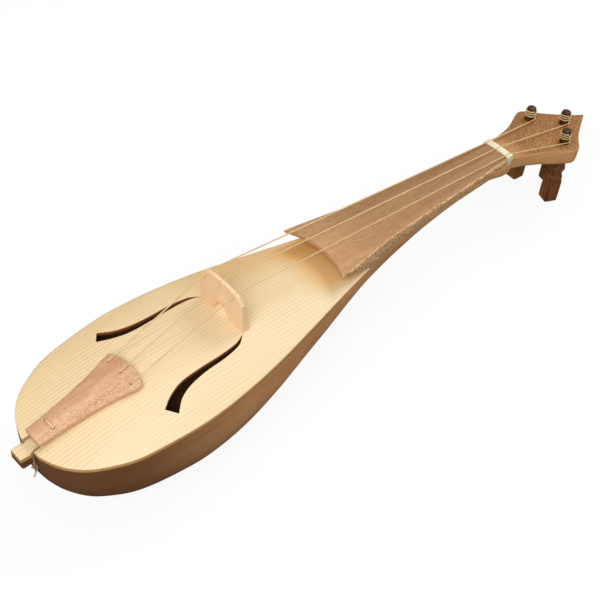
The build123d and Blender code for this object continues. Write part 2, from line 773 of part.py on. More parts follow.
pegs = [on_peg(*seat) * peg_solid(turn) for seat, turn in zip(PEG_SEATS, PEG_HANDLE_TURNS)]


# Windings: each a whole string end, wound up its peg's tip
def biarc(p0, t0, p1, t1):
    """Two tangent arcs between two points with given directions."""
    v = p1 - p0
    a = 2 * (1 - t0.dot(t1))
    b = 2 * v.dot(t0 + t1)
    c = -v.dot(v)
    d = (-b + sqrt(b * b - 4 * a * c)) / (2 * a)
    q0 = p0 + t0 * d
    q1 = p1 - t1 * d
    joint = (q0 + q1) * 0.5
    first = Edge.make_tangent_arc(p0, t0, joint)
    second = Edge.make_tangent_arc(joint, (q1 - q0).normalized(), p1)
    return [first, second]


def winding_path(radius):
    """Helix in quarter turns, from the side where the string arrives."""
    rise = WINDING_PITCH / (2 * pi)
    steps = WINDING_TURNS * 4
    points, directions = [], []
    for i in range(steps + 1):
        angle = -pi / 2 + i * pi / 2
        points.append(
            Vector(radius * cos(angle), radius * sin(angle), WINDING_START + WINDING_PITCH * i / 4)
        )
        directions.append(Vector(-radius * sin(angle), radius * cos(angle), rise).normalized())
    edges = []
    for i in range(steps):
        edges += biarc(points[i], directions[i], points[i + 1], directions[i + 1])
    return Wire(edges)


def winding_solid(index):
    """The turns of one string round its peg, as one unbroken tube."""
    wire_radius = STRING_RADII[index]
    path = winding_path(PEG_TIP_RADIUS + WINDING_GAP + wire_radius)
    mouth = Plane(origin=path @ 0, z_dir=path % 0)
    count = 120 * WINDING_TURNS
    marks = [path @ (i / count) for i in range(count + 1)]
    step = path.length / count
    skip = int(6 * wire_radius / step) + 1
    gap = min(
        (marks[i] - marks[j]).length for i in range(count + 1) for j in range(i + skip, count + 1)
    )
    print(f"winding_{PITCHES[index]}: least gap to itself {gap - 2 * wire_radius:.2f} mm")
    tube = sweep(mouth * Circle(wire_radius), path=path)
    expected = pi * wire_radius ** 2 * path.length
    print(f"winding_{PITCHES[index]}: volume {tube.volume:.1f}, section times length {expected:.1f}")
    return tube


windings = [on_peg(*PEG_SEATS[i]) * winding_solid(i) for i in range(3)]

# All nodes by name
nodes = {
    "body": body,
    "soundboard": soundboard,
    "saddle": saddle,
    "tailpiece": tailpiece,
    "tail_gut": tail_gut,
    "bridge": bridge,
    "fingerboard": fingerboard,
    "nut": nut,
    "bass_bar": bass_bar,
    "sound_post": sound_post,
}
for i, pitch in enumerate(PITCHES):
    nodes[f"string_{pitch}"] = strings[i]
    nodes[f"peg_{pitch}"] = pegs[i]
    nodes[f"winding_{pitch}"] = windings[i]

# Stand the instrument on its lowest points, centred over the origin
solids = {name: Rot(0, -REST_TILT, 0) * joined(shape) for name, shape in nodes.items()}
bounds = Compound(list(solids.values())).bounding_box()
shift = Pos(-(bounds.min.X + bounds.max.X) / 2, 0, -bounds.min.Z)
os.makedirs("parts", exist_ok=True)
print(f"shift {tuple(shift.position)}")
for name, solid in solids.items():
    placed = shift * solid
    export_step(placed, f"parts/{name}.step")
    box = placed.bounding_box()
    print(
        f"{name}: volume {placed.volume:.1f}, valid {placed.is_valid},"
        f" x {box.min.X:.1f} to {box.max.X:.1f}, y {box.min.Y:.1f} to {box.max.Y:.1f},"
        f" z {box.min.Z:.1f} to {box.max.Z:.1f}"
    )
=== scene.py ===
"""The looks of a rebec: carved bowl, spruce soundboard, gut strings and rear pegs.

Lengths inside the classes are millimetres on the instrument itself: x runs from the tail stub's
end to the head's tip, y towards the low string, and z up from the highest point of the rim.
Stand.place turns them into metres in the shared frame, where the instrument rests on its bowl.
"""

from __future__ import annotations

import logging
import math
from collections.abc import Callable, Sequence
from dataclasses import dataclass, field
from enum import Enum

import bpy
import numpy as np
from mathutils import Matrix, Vector
from mathutils.geometry import delaunay_2d_cdt


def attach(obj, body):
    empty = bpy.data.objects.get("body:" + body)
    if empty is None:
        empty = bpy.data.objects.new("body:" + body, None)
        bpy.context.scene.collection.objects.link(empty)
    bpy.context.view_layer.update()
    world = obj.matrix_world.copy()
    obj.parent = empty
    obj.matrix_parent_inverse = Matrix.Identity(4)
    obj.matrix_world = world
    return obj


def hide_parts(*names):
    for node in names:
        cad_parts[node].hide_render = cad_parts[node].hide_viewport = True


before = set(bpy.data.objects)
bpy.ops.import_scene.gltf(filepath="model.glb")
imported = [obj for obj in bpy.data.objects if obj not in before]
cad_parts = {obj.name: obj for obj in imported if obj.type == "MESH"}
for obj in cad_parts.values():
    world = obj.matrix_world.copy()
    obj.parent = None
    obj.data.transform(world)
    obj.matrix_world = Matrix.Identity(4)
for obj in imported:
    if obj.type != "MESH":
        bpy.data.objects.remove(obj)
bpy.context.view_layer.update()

log = logging.getLogger("rebec")
Array = np.ndarray
MM = 0.001


class Side(Enum):
    """The three courses of the instrument, with the sign of y and the place in lists."""

    LOW = ("low", 1, 0)
    MIDDLE = ("middle", 0, 1)
    HIGH = ("high", -1, 2)

    @property
    def word(self) -> str:
        """The word used in piece names."""
        return self.value[0]

    @property
    def sign(self) -> int:
        """The side of the middle line: 1, 0 or -1."""
        return self.value[1]

    @property
    def index(self) -> int:
        """The place in lists that run from low to high."""
        return self.value[2]


@dataclass(frozen=True)
class Stand:
    """How the instrument lies in the frame: turned a little about y, then moved."""

    rest_tilt_deg: float = 0.575
    tail_x: float = -328.332
    rim_z: float = 74.652

    def place(self, points: Array) -> Array:
        """Turn instrument millimetres into frame metres.

        The turn is x' = x cos a - z sin a and z' = x sin a + z cos a, followed by the shift.

        Args:
            points: Array whose last axis holds x, y and z in millimetres.

        Returns:
            The same array of points in metres.
        """
        a = math.radians(self.rest_tilt_deg)
        x, y, z = np.moveaxis(np.asarray(points, dtype=float), -1, 0)
        turned = np.stack([x * math.cos(a) - z * math.sin(a), y, x * math.sin(a) + z * math.cos(a)], -1)
        return (turned + [self.tail_x, 0.0, self.rim_z]) * MM


STAND = Stand()


def ease(start: float, end: float, x: Array) -> Array:
    """Smooth step: 0 before start, 1 after end, 3t^2 - 2t^3 between them."""
    t = np.clip((np.asarray(x, dtype=float) - start) / (end - start), 0.0, 1.0)
    return t * t * (3.0 - 2.0 * t)


def smooth(stations: Sequence[Sequence[float]], column: int, x: Array) -> Array:
    """A smooth curve through one column of a table of stations.

    Between two stations the value is the cubic that has the stations' values and, at each of
    them, the slope of the chord between its two neighbours.

    Args:
        stations: Rows that start with their x, in rising order.
        column: The column to read.
        x: Where to read it.

    Returns:
        The values, in the shape of x.
    """
    table = np.asarray(stations, dtype=float)
    at, value = table[:, 0], table[:, column]
    before = np.concatenate([[0], np.arange(len(at) - 1)])
    after = np.concatenate([np.arange(1, len(at)), [len(at) - 1]])
    slope = (value[after] - value[before]) / (at[after] - at[before])
    x = np.clip(np.asarray(x, dtype=float), at[0], at[-1])
    i = np.clip(np.searchsorted(at, x, side="right") - 1, 0, len(at) - 2)
    span = at[i + 1] - at[i]
    t = (x - at[i]) / span
    bend = (t**3 - 2 * t**2 + t) * slope[i] * span + (t**3 - t**2) * slope[i + 1] * span
    rise = 3 * t**2 - 2 * t**3
    return value[i] * (1 - rise) + value[i + 1] * rise + bend


def curve_through(points: Sequence[Sequence[float]], count: int) -> Array:
    """A smooth plane or space curve through points, by smooth() over their chord length.

    Args:
        points: The points, two or more.
        count: How many samples to return.

    Returns:
        Samples at equal steps of chord length, ends included.
    """
    p = np.asarray(points, dtype=float)
    run = np.concatenate([[0.0], np.cumsum(np.linalg.norm(np.diff(p, axis=0), axis=1))])
    table = np.column_stack([run, p])
    at = np.linspace(0.0, run[-1], count)
    return np.stack([smooth(table, k + 1, at) for k in range(p.shape[1])], axis=-1)


def rounded_route(corners: Sequence[Sequence[float]], bends: Sequence[float], step: float) -> Array:
    """Straight runs between corners, with each corner replaced by a tangent circular arc.

    Args:
        corners: The route's corners, ends included.
        bends: The arc radius at each inner corner.
        step: Spacing of the samples on the arcs; straight runs get one sample per 12 steps.

    Returns:
        The sampled route.
    """
    p = np.asarray(corners, dtype=float)
    pieces = [p[:1]]
    for k, bend in enumerate(bends, start=1):
        into = p[k] - p[k - 1]
        out = p[k + 1] - p[k]
        into, out = into / np.linalg.norm(into), out / np.linalg.norm(out)
        turn = math.acos(float(np.clip(into @ out, -1.0, 1.0)))
        if turn < 1e-4:
            pieces.append(p[k : k + 1])
            continue
        setback = bend * math.tan(turn / 2)
        side = out - into * math.cos(turn)
        side = side / np.linalg.norm(side)
        start = p[k] - into * setback
        angle = np.linspace(0.0, turn, max(4, int(bend * turn / step)))[:, None]
        pieces.append(start + bend * (np.sin(angle) * into + (1 - np.cos(angle)) * side))
    pieces.append(p[-1:])
    rough = np.concatenate(pieces)
    gaps = np.linalg.norm(np.diff(rough, axis=0), axis=1)
    filled = [rough[:1]]
    for a, b, gap in zip(rough[:-1], rough[1:], gaps):
        parts = max(1, int(gap / (12 * step)))
        filled.append(a + (b - a) * np.linspace(1 / parts, 1.0, parts)[:, None])
    return np.concatenate(filled)


def carried_frames(path: Array) -> tuple[Array, Array, Array]:
    """Directions along a path and two normals that turn as little as possible.

    Args:
        path: The path's points.

    Returns:
        Unit arrays: along, first normal, second normal.
    """
    along = np.gradient(path, axis=0)
    along = along / np.linalg.norm(along, axis=1, keepdims=True)
    start = np.cross(along[0], [0.0, 0.0, 1.0])
    if np.linalg.norm(start) < 0.2:
        start = np.cross(along[0], [0.0, 1.0, 0.0])
    normal = np.empty_like(along)
    normal[0] = start / np.linalg.norm(start)
    for k in range(1, len(along)):
        n = normal[k - 1] - along[k] * (normal[k - 1] @ along[k])
        normal[k] = n / np.linalg.norm(n)
    return along, normal, np.cross(along, normal)


@dataclass
class Skin:
    """Vertices, faces and texture values of one piece before they become a mesh."""

    points: Array
    faces: list[Array]
    uv: Array | None = None

    def volume(self) -> float:
        """Signed volume, from the triangles that fan each face: positive if faces point out."""
        total = 0.0
        for face in self.faces:
            a = self.points[face[:, 0]]
            for k in range(1, face.shape[1] - 1):
                b, c = self.points[face[:, k]], self.points[face[:, k + 1]]
                total += float(np.einsum("ij,ij->i", a, np.cross(b, c)).sum()) / 6.0
        return total

    def outward(self) -> Skin:
        """The same skin with its faces pointing out."""
        if self.volume() < 0:
            self.faces = [face[:, ::-1] for face in self.faces]
        return self

    def with_more(self, other: Skin) -> Skin:
        """This skin together with another one."""
        shifted = [face + len(self.points) for face in other.faces]
        uv = None
        if self.uv is not None and other.uv is not None:
            uv = np.concatenate([self.uv, other.uv])
        return Skin(np.concatenate([self.points, other.points]), self.faces + shifted, uv)


def grid_faces(rows: int, columns: int, wrap: bool, offset: int = 0) -> Array:
    """Quads of a grid whose vertex (i, j) is i * columns + j.

    Args:
        rows: Number of rows.
        columns: Number of columns.
        wrap: Whether the last column joins the first.
        offset: Index of the grid's first vertex.

    Returns:
        An array of four vertex indices per quad.
    """
    i = np.arange(rows - 1)[:, None]
    j = np.arange(columns if wrap else columns - 1)[None, :]
    right = (j + 1) % columns
    quads = np.stack([i * columns + j, i * columns + right, (i + 1) * columns + right, (i + 1) * columns + j], -1)
    return quads.reshape(-1, 4) + offset


def loft_skin(rings: Array, uv: Array | None = None) -> Skin:
    """Closed rings carried one after another, with both ends closed by a fan to their middle.

    Args:
        rings: Array of (ring, point on ring, 3).
        uv: Optional array of (ring, point on ring, 2).

    Returns:
        The closed skin.
    """
    rows, columns = rings.shape[:2]
    points = np.concatenate([rings.reshape(-1, 3), rings[:1].mean(axis=1), rings[-1:].mean(axis=1)])
    j = np.arange(columns)
    nxt = (j + 1) % columns
    first = np.stack([np.full(columns, rows * columns), nxt, j], -1)
    base = (rows - 1) * columns
    last = np.stack([np.full(columns, rows * columns + 1), base + j, base + nxt], -1)
    flat_uv = None
    if uv is not None:
        flat_uv = np.concatenate([uv.reshape(-1, 2), uv[:1].mean(axis=1), uv[-1:].mean(axis=1)])
    return Skin(points, [grid_faces(rows, columns, True), first, last], flat_uv).outward()


def tube_skin(path: Array, radius: Array | float, sides: int, dome: float = 1.0) -> Skin:
    """A round tube along a path, with domed ends.

    Ring k is path[k] + r (cos a n1 + sin a n2). Four more rings at each end shrink on a quarter
    circle, which is drawn out along the path by dome radii.

    Args:
        path: The tube's middle line.
        radius: One radius, or one per path point.
        sides: Points on each ring.
        dome: Length of the rounded ends, in radii.

    Returns:
        The closed skin, whose uv holds the share of the way round and the run in millimetres.
    """
    along, n1, n2 = carried_frames(path)
    r = np.broadcast_to(np.asarray(radius, dtype=float), (len(path),))
    run = np.concatenate([[0.0], np.cumsum(np.linalg.norm(np.diff(path, axis=0), axis=1))])
    bend = np.linspace(math.pi / 2 * 0.94, 0.0, 5)[:-1]
    start_centres = path[0] - along[0] * (np.sin(bend) * r[0] * dome)[:, None]
    end_centres = path[-1] + along[-1] * (np.sin(bend[::-1]) * r[-1] * dome)[:, None]
    centres = np.concatenate([start_centres, path, end_centres])
    radii = np.concatenate([np.cos(bend) * r[0], r, np.cos(bend[::-1]) * r[-1]])
    pad = len(bend)
    first = np.concatenate([np.repeat(n1[:1], pad, 0), n1, np.repeat(n1[-1:], pad, 0)])
    second = np.concatenate([np.repeat(n2[:1], pad, 0), n2, np.repeat(n2[-1:], pad, 0)])
    runs = np.concatenate([np.full(pad, run[0]), run, np.full(pad, run[-1])])
    a = np.linspace(0.0, 2 * math.pi, sides, endpoint=False)
    ring = np.cos(a)[None, :, None] * first[:, None] + np.sin(a)[None, :, None] * second[:, None]
    rings = centres[:, None] + radii[:, None, None] * ring
    uv = np.stack(np.broadcast_arrays(a[None, :] / (2 * math.pi), runs[:, None]), -1)
    return loft_skin(rings, uv)


def inside(points: Array, loop: Array) -> Array:
    """Whether plane points lie inside a closed loop, by counting crossings of a ray along x."""
    x, y = points[:, :1], points[:, 1:2]
    ax, ay = loop[:, 0], loop[:, 1]
    bx, by = np.roll(ax, -1), np.roll(ay, -1)
    spans = (ay > y) != (by > y)
    rise = np.where(by == ay, 1e-12, by - ay)
    return (np.sum(spans & (x < (bx - ax) * (y - ay) / rise + ax), axis=1) % 2) == 1


def inset(loop: Array, distance: float, into_loop: bool) -> Array:
    """A closed loop moved sideways by a distance.

    Each point moves along the mean of its two edges' normals, lengthened at a corner so that
    both edges move by the full distance.

    Args:
        loop: The closed loop's points.
        distance: How far to move.
        into_loop: Whether to move to the loop's inside or to its outside.

    Returns:
        The moved loop, point for point.
    """
    ahead = np.roll(loop, -1, axis=0) - loop
    ahead = ahead / np.linalg.norm(ahead, axis=1, keepdims=True)
    behind = np.roll(ahead, 1, axis=0)
    normal_ahead = np.stack([-ahead[:, 1], ahead[:, 0]], -1)
    normal_behind = np.stack([-behind[:, 1], behind[:, 0]], -1)
    mean = normal_ahead + normal_behind
    mean = mean / np.maximum(np.linalg.norm(mean, axis=1, keepdims=True), 1e-9)
    stretch = np.clip(np.einsum("ij,ij->i", mean, normal_ahead), 0.45, 1.0)[:, None]
    x, y = loop[:, 0], loop[:, 1]
    area = 0.5 * np.sum(x * np.roll(y, -1) - np.roll(x, -1) * y)
    sign = (1.0 if area > 0 else -1.0) * (1.0 if into_loop else -1.0)
    return loop + sign * distance * mean / stretch


@dataclass
class Plate:
    """A plate cut from a plan: an outline, holes, and a face on either side.

    The two faces are heights over the plan. Their rims are rounded by a quarter circle of
    edge_round, and the walls between them follow the outline and the holes.
    """

    outline: Array
    holes: list[Array]
    spacing: float
    edge_round: float
    upper: Callable[[Array, Array], Array]
    lower: Callable[[Array, Array], Array]
    lower_round: float | None = None
    lower_holes: list[Array] | None = None
    steps: int = 3

    def face(self, loops: list[Array]) -> tuple[Array, Array]:
        """Triangulate the plan between loops with a grid of inner points.

        Args:
            loops: The inset outline, then the inset holes.

        Returns:
            Plan points, which begin with the loops' points, and triangles.
        """
        low, high = self.outline.min(axis=0), self.outline.max(axis=0)
        xs = np.arange(low[0], high[0], self.spacing)
        ys = np.arange(low[1], high[1], self.spacing) + self.spacing * 0.37
        mesh = np.stack(np.meshgrid(xs, ys, indexing="ij"), -1)
        mesh[::2, :, 1] += self.spacing * 0.5
        mesh = mesh.reshape(-1, 2)
        keep = inside(mesh, inset(loops[0], self.spacing * 0.45, True))
        for loop in loops[1:]:
            keep &= ~inside(mesh, inset(loop, self.spacing * 0.45, False))
        rims = np.concatenate(loops)
        points = np.concatenate([rims, mesh[keep]])
        edges, start = [], 0
        for loop in loops:
            count = len(loop)
            edges += [(start + k, start + (k + 1) % count) for k in range(count)]
            start += count
        made = delaunay_2d_cdt([Vector(p) for p in points], edges, [], 0, 1e-7)
        plan = np.array([tuple(v) for v in made[0]])
        triangles = np.array(made[2])
        middle = plan[triangles].mean(axis=1)
        keep = inside(middle, loops[0])
        for loop in loops[1:]:
            keep &= ~inside(middle, loop)
        return plan, triangles[keep]

    def skin(self) -> Skin:
        """Build both faces, their rounded rims and the walls.

        Returns:
            The closed skin, with heights in the third coordinate.
        """
        lower_round = self.edge_round if self.lower_round is None else self.lower_round
        loops = [self.outline, *self.holes]
        under = [self.outline, *(self.holes if self.lower_holes is None else self.lower_holes)]
        upper_loops = [inset(loop, self.edge_round, k == 0) for k, loop in enumerate(loops)]
        lower_loops = [inset(loop, lower_round, k == 0) for k, loop in enumerate(under)]
        points: list[Array] = []
        faces: list[Array] = []
        total = 0
        starts = []
        for rim_loops, height in ((upper_loops, self.upper), (lower_loops, self.lower)):
            plan, triangles = self.face(rim_loops)
            points.append(np.column_stack([plan, height(plan[:, 0], plan[:, 1])]))
            faces.append(triangles + total if height is self.upper else triangles[:, ::-1] + total)
            starts.append(total)
            total += len(plan)
        offset = 0
        for k, loop in enumerate(loops):
            count = len(loop)
            rings = []
            turn = np.linspace(0.0, math.pi / 2, self.steps + 1)[1:]
            top = self.upper(loop[:, 0], loop[:, 1])
            bottom = self.lower(under[k][:, 0], under[k][:, 1])
            for a in turn:
                flat = upper_loops[k] + (loop - upper_loops[k]) * math.sin(a)
                rings.append(np.column_stack([flat, top - self.edge_round * (1 - math.cos(a))]))
            for a in turn[::-1]:
                flat = lower_loops[k] + (under[k] - lower_loops[k]) * math.sin(a)
                rings.append(np.column_stack([flat, bottom + lower_round * (1 - math.cos(a))]))
            points += rings
            ids = [starts[0] + offset + np.arange(count)]
            ids += [total + n * count + np.arange(count) for n in range(len(rings))]
            ids.append(starts[1] + offset + np.arange(count))
            total += count * len(rings)
            offset += count
            for here, there in zip(ids[:-1], ids[1:]):
                quad = np.stack([here, np.roll(here, -1), np.roll(there, -1), there], -1)
                faces.append(quad if self.counter_clockwise(loop) == (k > 0) else quad[:, ::-1])
        return Skin(np.concatenate(points), faces)

    @staticmethod
    def counter_clockwise(loop: Array) -> bool:
        """Whether a loop runs counter-clockwise."""
        x, y = loop[:, 0], loop[:, 1]
        return bool(np.sum(x * np.roll(y, -1) - np.roll(x, -1) * y) > 0)


def make_piece(name: str, skin: Skin, material: bpy.types.Material, sharp_deg: float = 40.0) -> bpy.types.Object:
    """Turn a skin in instrument millimetres into a smooth-shaded object in the frame.

    Args:
        name: The piece's name.
        skin: Its vertices and faces.
        material: Its finish.
        sharp_deg: Edges that bend more than this stay crisp.

    Returns:
        The new object.
    """
    mesh = bpy.data.meshes.new(name)
    points = STAND.place(skin.points)
    sizes = np.concatenate([np.full(len(face), face.shape[1]) for face in skin.faces])
    corners = np.concatenate([face.reshape(-1) for face in skin.faces])
    mesh.vertices.add(len(points))
    mesh.vertices.foreach_set("co", points.astype(np.float32).reshape(-1))
    mesh.loops.add(len(corners))
    mesh.loops.foreach_set("vertex_index", corners.astype(np.int32))
    mesh.polygons.add(len(sizes))
    mesh.polygons.foreach_set("loop_start", np.concatenate([[0], np.cumsum(sizes)[:-1]]).astype(np.int32))
    mesh.polygons.foreach_set("use_smooth", np.ones(len(sizes), dtype=bool))
    if skin.uv is not None:
        layer = mesh.uv_layers.new(name="run")
        layer.data.foreach_set("uv", skin.uv[corners].astype(np.float32).reshape(-1))
    mesh.update(calc_edges=True)
    mesh.validate()
    mesh.set_sharp_from_angle(angle=math.radians(sharp_deg))
    mesh.materials.append(material)
    piece = bpy.data.objects.new(name, mesh)
    bpy.context.scene.collection.objects.link(piece)
    log.info("%s: %d vertices, %d faces", name, len(points), len(sizes))
    return piece


class Nodes:
    """A small writer of one material's node tree."""

    def __init__(self, name: str) -> None:
        """Make the material and keep its shader and the object's coordinates."""
        self.material = bpy.data.materials.new(name)
        self.material.use_nodes = True
        self.tree = self.material.node_tree
        self.shader = self.tree.nodes["Principled BSDF"]
        self.place = self.tree.nodes.new("ShaderNodeTexCoord")

    def add(self, kind: str, inputs: dict[str | int, object] | None = None, **settings: object) -> bpy.types.Node:
        """Add a node, set its properties, and give its inputs numbers or links.

        Args:
            kind: The node type's short name, without its prefix.
            inputs: Values or sockets by input name or place.
            **settings: Properties of the node.

        Returns:
            The node.
        """
        node = self.tree.nodes.new("ShaderNode" + kind)
        for key, value in settings.items():
            setattr(node, key, value)
        for key, value in (inputs or {}).items():
            if isinstance(value, bpy.types.NodeSocket):
                self.tree.links.new(value, node.inputs[key])
            else:
                node.inputs[key].default_value = value
        return node

    def scaled(self, scale: Sequence[float], turn: Sequence[float] = (0, 0, 0)) -> bpy.types.NodeSocket:
        """Object coordinates in metres, turned and then scaled along each axis."""
        place = self.place.outputs["Object"]
        if any(turn):
            place = self.add("Mapping", {"Vector": place, "Rotation": tuple(turn)}).outputs[0]
        return self.add("Mapping", {"Vector": place, "Scale": tuple(scale)}).outputs[0]

    def noise(self, where: bpy.types.NodeSocket, detail: float = 3.0, rough: float = 0.55,
              bend: float = 0.0) -> bpy.types.NodeSocket:
        """Noise between 0 and 1 at coordinates that are already scaled."""
        inputs = {"Vector": where, "Scale": 1.0, "Detail": detail, "Roughness": rough, "Distortion": bend}
        return self.add("TexNoise", inputs).outputs["Fac"]

    def sum(self, operation: str, first: object, second: object = 0.0, third: object = 0.0,
            clamp: bool = False) -> bpy.types.NodeSocket:
        """One step of arithmetic on numbers or sockets."""
        inputs = {0: first, 1: second, 2: third}
        return self.add("Math", inputs, operation=operation, use_clamp=clamp).outputs[0]

    def between(self, value: object, low: float, high: float) -> bpy.types.NodeSocket:
        """A smooth step from 0 at the first limit to 1 at the second, both in mm."""
        socket = value if isinstance(value, bpy.types.NodeSocket) else self.axis(value)
        made = self.add("MapRange", {"Value": socket, "From Min": low * MM, "From Max": high * MM},
                        interpolation_type="SMOOTHSTEP")
        return made.outputs[0]

    def axis(self, name: str) -> bpy.types.NodeSocket:
        """One object coordinate, X, Y or Z."""
        return self.add("SeparateXYZ", {0: self.place.outputs["Object"]}).outputs[name]

    def ramp(self, value: bpy.types.NodeSocket, stops: Sequence[tuple[float, float]]) -> bpy.types.NodeSocket:
        """A grey curve through (place, value) stops."""
        node = self.add("ValToRGB", {"Fac": value})
        points = node.color_ramp.elements
        while len(points) < len(stops):
            points.new(0.5)
        for point, (at, grey) in zip(points, stops):
            point.position = at
            point.color = (grey, grey, grey, 1.0)
        return node.outputs["Color"]

    def mix(self, share: object, first: object, second: object, blend: str = "MIX") -> bpy.types.NodeSocket:
        """Two colours mixed by a share."""
        node = self.add("Mix", data_type="RGBA", blend_type=blend)
        for key, value in ((0, share), (6, first), (7, second)):
            if isinstance(value, bpy.types.NodeSocket):
                self.tree.links.new(value, node.inputs[key])
            else:
                node.inputs[key].default_value = value
        return node.outputs[2]

    def dress(self, colour: bpy.types.NodeSocket, rough: bpy.types.NodeSocket | float,
              relief: bpy.types.NodeSocket | None, depth: float, **constant: float) -> bpy.types.Material:
        """Link colour, roughness and bump to the shader and set its constants.

        Args:
            colour: Base colour.
            rough: Roughness.
            relief: Height for the bump, or None.
            depth: Height of the relief in metres.
            **constant: Unlinked shader values, with spaces written as underscores.

        Returns:
            The finished material.
        """
        self.tree.links.new(colour, self.shader.inputs["Base Color"])
        if isinstance(rough, bpy.types.NodeSocket):
            self.tree.links.new(rough, self.shader.inputs["Roughness"])
        else:
            self.shader.inputs["Roughness"].default_value = rough
        if relief is not None:
            bump = self.add("Bump", {"Strength": 1.0, "Distance": depth, "Height": relief})
            self.tree.links.new(bump.outputs[0], self.shader.inputs["Normal"])
        for key, value in constant.items():
            self.shader.inputs[key.replace("_", " ")].default_value = value
        return self.material


def srgb(red: float, green: float, blue: float) -> tuple[float, float, float, float]:
    """A colour written in 0 to 255 screen values, as the linear values that shaders read."""
    def line(c: float) -> float:
        """One channel."""
        c = c / 255.0
        return c / 12.92 if c <= 0.04045 else ((c + 0.055) / 1.055) ** 2.4

    return (line(red), line(green), line(blue), 1.0)


@dataclass(frozen=True)
class Spruce:
    """Pale spruce cut on the quarter: thin tan winter lines along the board, and a dull sheen."""

    name: str = "spruce"
    pale: tuple[float, ...] = srgb(249, 230, 193)
    golden: tuple[float, ...] = srgb(242, 212, 158)
    line: tuple[float, ...] = srgb(206, 160, 98)
    edge: tuple[float, ...] = srgb(196, 150, 90)
    hole: tuple[float, ...] = srgb(150, 84, 44)
    # Colour of the painted shadows by the fingerboard's end and beyond the bridge.
    shadow_gold: tuple[float, ...] = srgb(224, 172, 92)
    hole_reach_mm: float = 57.0
    ring_mm: float = 3.4
    line_share: float = 0.52
    roughness: float = 0.6

    def material(self) -> bpy.types.Material:
        """Rings are y over the ring width plus slow noise along the grain; the last part of each
        ring darkens slowly and ends at once. Steep faces are tan, and red-brown in the holes.

        Returns:
            The finish.
        """
        n = Nodes(self.name)
        slow = n.noise(n.scaled((2.2, 18.0, 9.0)), 2.0, 0.5)
        fine = n.noise(n.scaled((9.0, 95.0, 40.0)), 2.0, 0.5)
        parts = n.add("SeparateXYZ", {0: n.place.outputs["Object"]})
        across = n.sum("MULTIPLY_ADD", parts.outputs["Z"], 0.28, parts.outputs["Y"])
        rings = n.sum("DIVIDE", across, self.ring_mm * MM)
        rings = n.sum("MULTIPLY_ADD", slow, 3.4, rings)
        rings = n.sum("MULTIPLY_ADD", fine, 0.7, rings)
        share = n.sum("FRACT", rings)
        winter = n.ramp(share, [(0.0, 0.10), (0.12, 0.0), (0.40, 0.06), (0.72, 0.7), (0.90, 1.0), (1.0, 0.12)])
        patch = n.noise(n.scaled((14.0, 60.0, 30.0)), 3.0)
        strength = n.sum("MULTIPLY", winter, n.ramp(patch, [(0.25, 0.35), (0.75, 1.0)]))
        fibre = n.noise(n.scaled((34.0, 1500.0, 900.0)), 4.0, 0.65)
        silk = n.noise(n.scaled((260.0, 55.0, 60.0), (0, 0, 0.05)), 2.0, 0.6)
        # Painted shade: the board turns deeper golden towards the far side (+y), where its winter lines are also
        # drawn stronger.
        far = n.add("MapRange", {"Value": parts.outputs["Y"], "From Min": -0.05, "From Max": 0.06})
        cloud = n.ramp(n.noise(n.scaled((5.0, 14.0, 9.0)), 2.0), [(0.3, 0.0), (0.75, 0.5)])
        tone = n.mix(n.sum("MULTIPLY_ADD", far.outputs[0], 0.55, cloud, True), self.pale, self.golden)
        strong = n.add("MapRange", {"Value": far.outputs[0], "To Min": 0.5 * self.line_share,
                                    "To Max": 1.25 * self.line_share})
        colour = n.mix(n.sum("MULTIPLY", strength, strong.outputs[0]), tone, self.line)
        colour = n.mix(n.ramp(fibre, [(0.35, 0.0), (0.8, 0.20)]), colour, self.line)
        colour = n.mix(n.ramp(silk, [(0.62, 0.0), (0.78, 0.25)]), colour, self.pale)
        lateral = n.sum("ABSOLUTE", parts.outputs["Y"])
        # Painted shadow: a golden patch just before and under the fingerboard's end, and painted shade over the far
        # side of the board from the bridge towards the neck.
        shadow_by_board = n.sum("MULTIPLY", n.between("X", -64.0, -34.0), n.between(lateral, 40.0, 20.0))
        shadow_by_bridge = n.sum("MULTIPLY", n.between("X", -150.0, -105.0), n.between("Y", 6.0, 34.0))
        painted_shadow = n.sum("MULTIPLY_ADD", shadow_by_bridge, 0.45, n.sum("MULTIPLY", shadow_by_board, 0.68), True)
        colour = n.mix(painted_shadow, colour, self.shadow_gold)
        facing = n.add("SeparateXYZ", {0: n.add("NewGeometry").outputs["Normal"]}).outputs["Z"]
        steep = n.ramp(n.sum("ABSOLUTE", facing), [(0.35, 1.0), (0.75, 0.0)])
        middle = n.sum("LESS_THAN", n.sum("ABSOLUTE", parts.outputs["Y"]), self.hole_reach_mm * MM)
        along = n.sum("LESS_THAN", n.sum("ABSOLUTE", n.sum("ADD", parts.outputs["X"], 0.178)), 0.062)
        wall = n.mix(n.sum("MULTIPLY", middle, along), self.edge, self.hole)
        colour = n.mix(steep, colour, wall)
        rough = n.sum("MULTIPLY_ADD", fibre, 0.14, self.roughness - 0.06)
        relief = n.sum("ADD", n.sum("MULTIPLY", strength, 0.6), n.sum("MULTIPLY", fibre, 0.5))
        return n.dress(colour, rough, relief, 0.00010, Specular_IOR_Level=0.28, Coat_Weight=0.03,
                       Coat_Roughness=0.4)


class Faces(Enum):
    """Which faces of a wood show its wavy figure, over painted light on steep faces or painted shade on flat ones.
    """

    NONE = 0
    STEEP = 1
    FLAT = 2


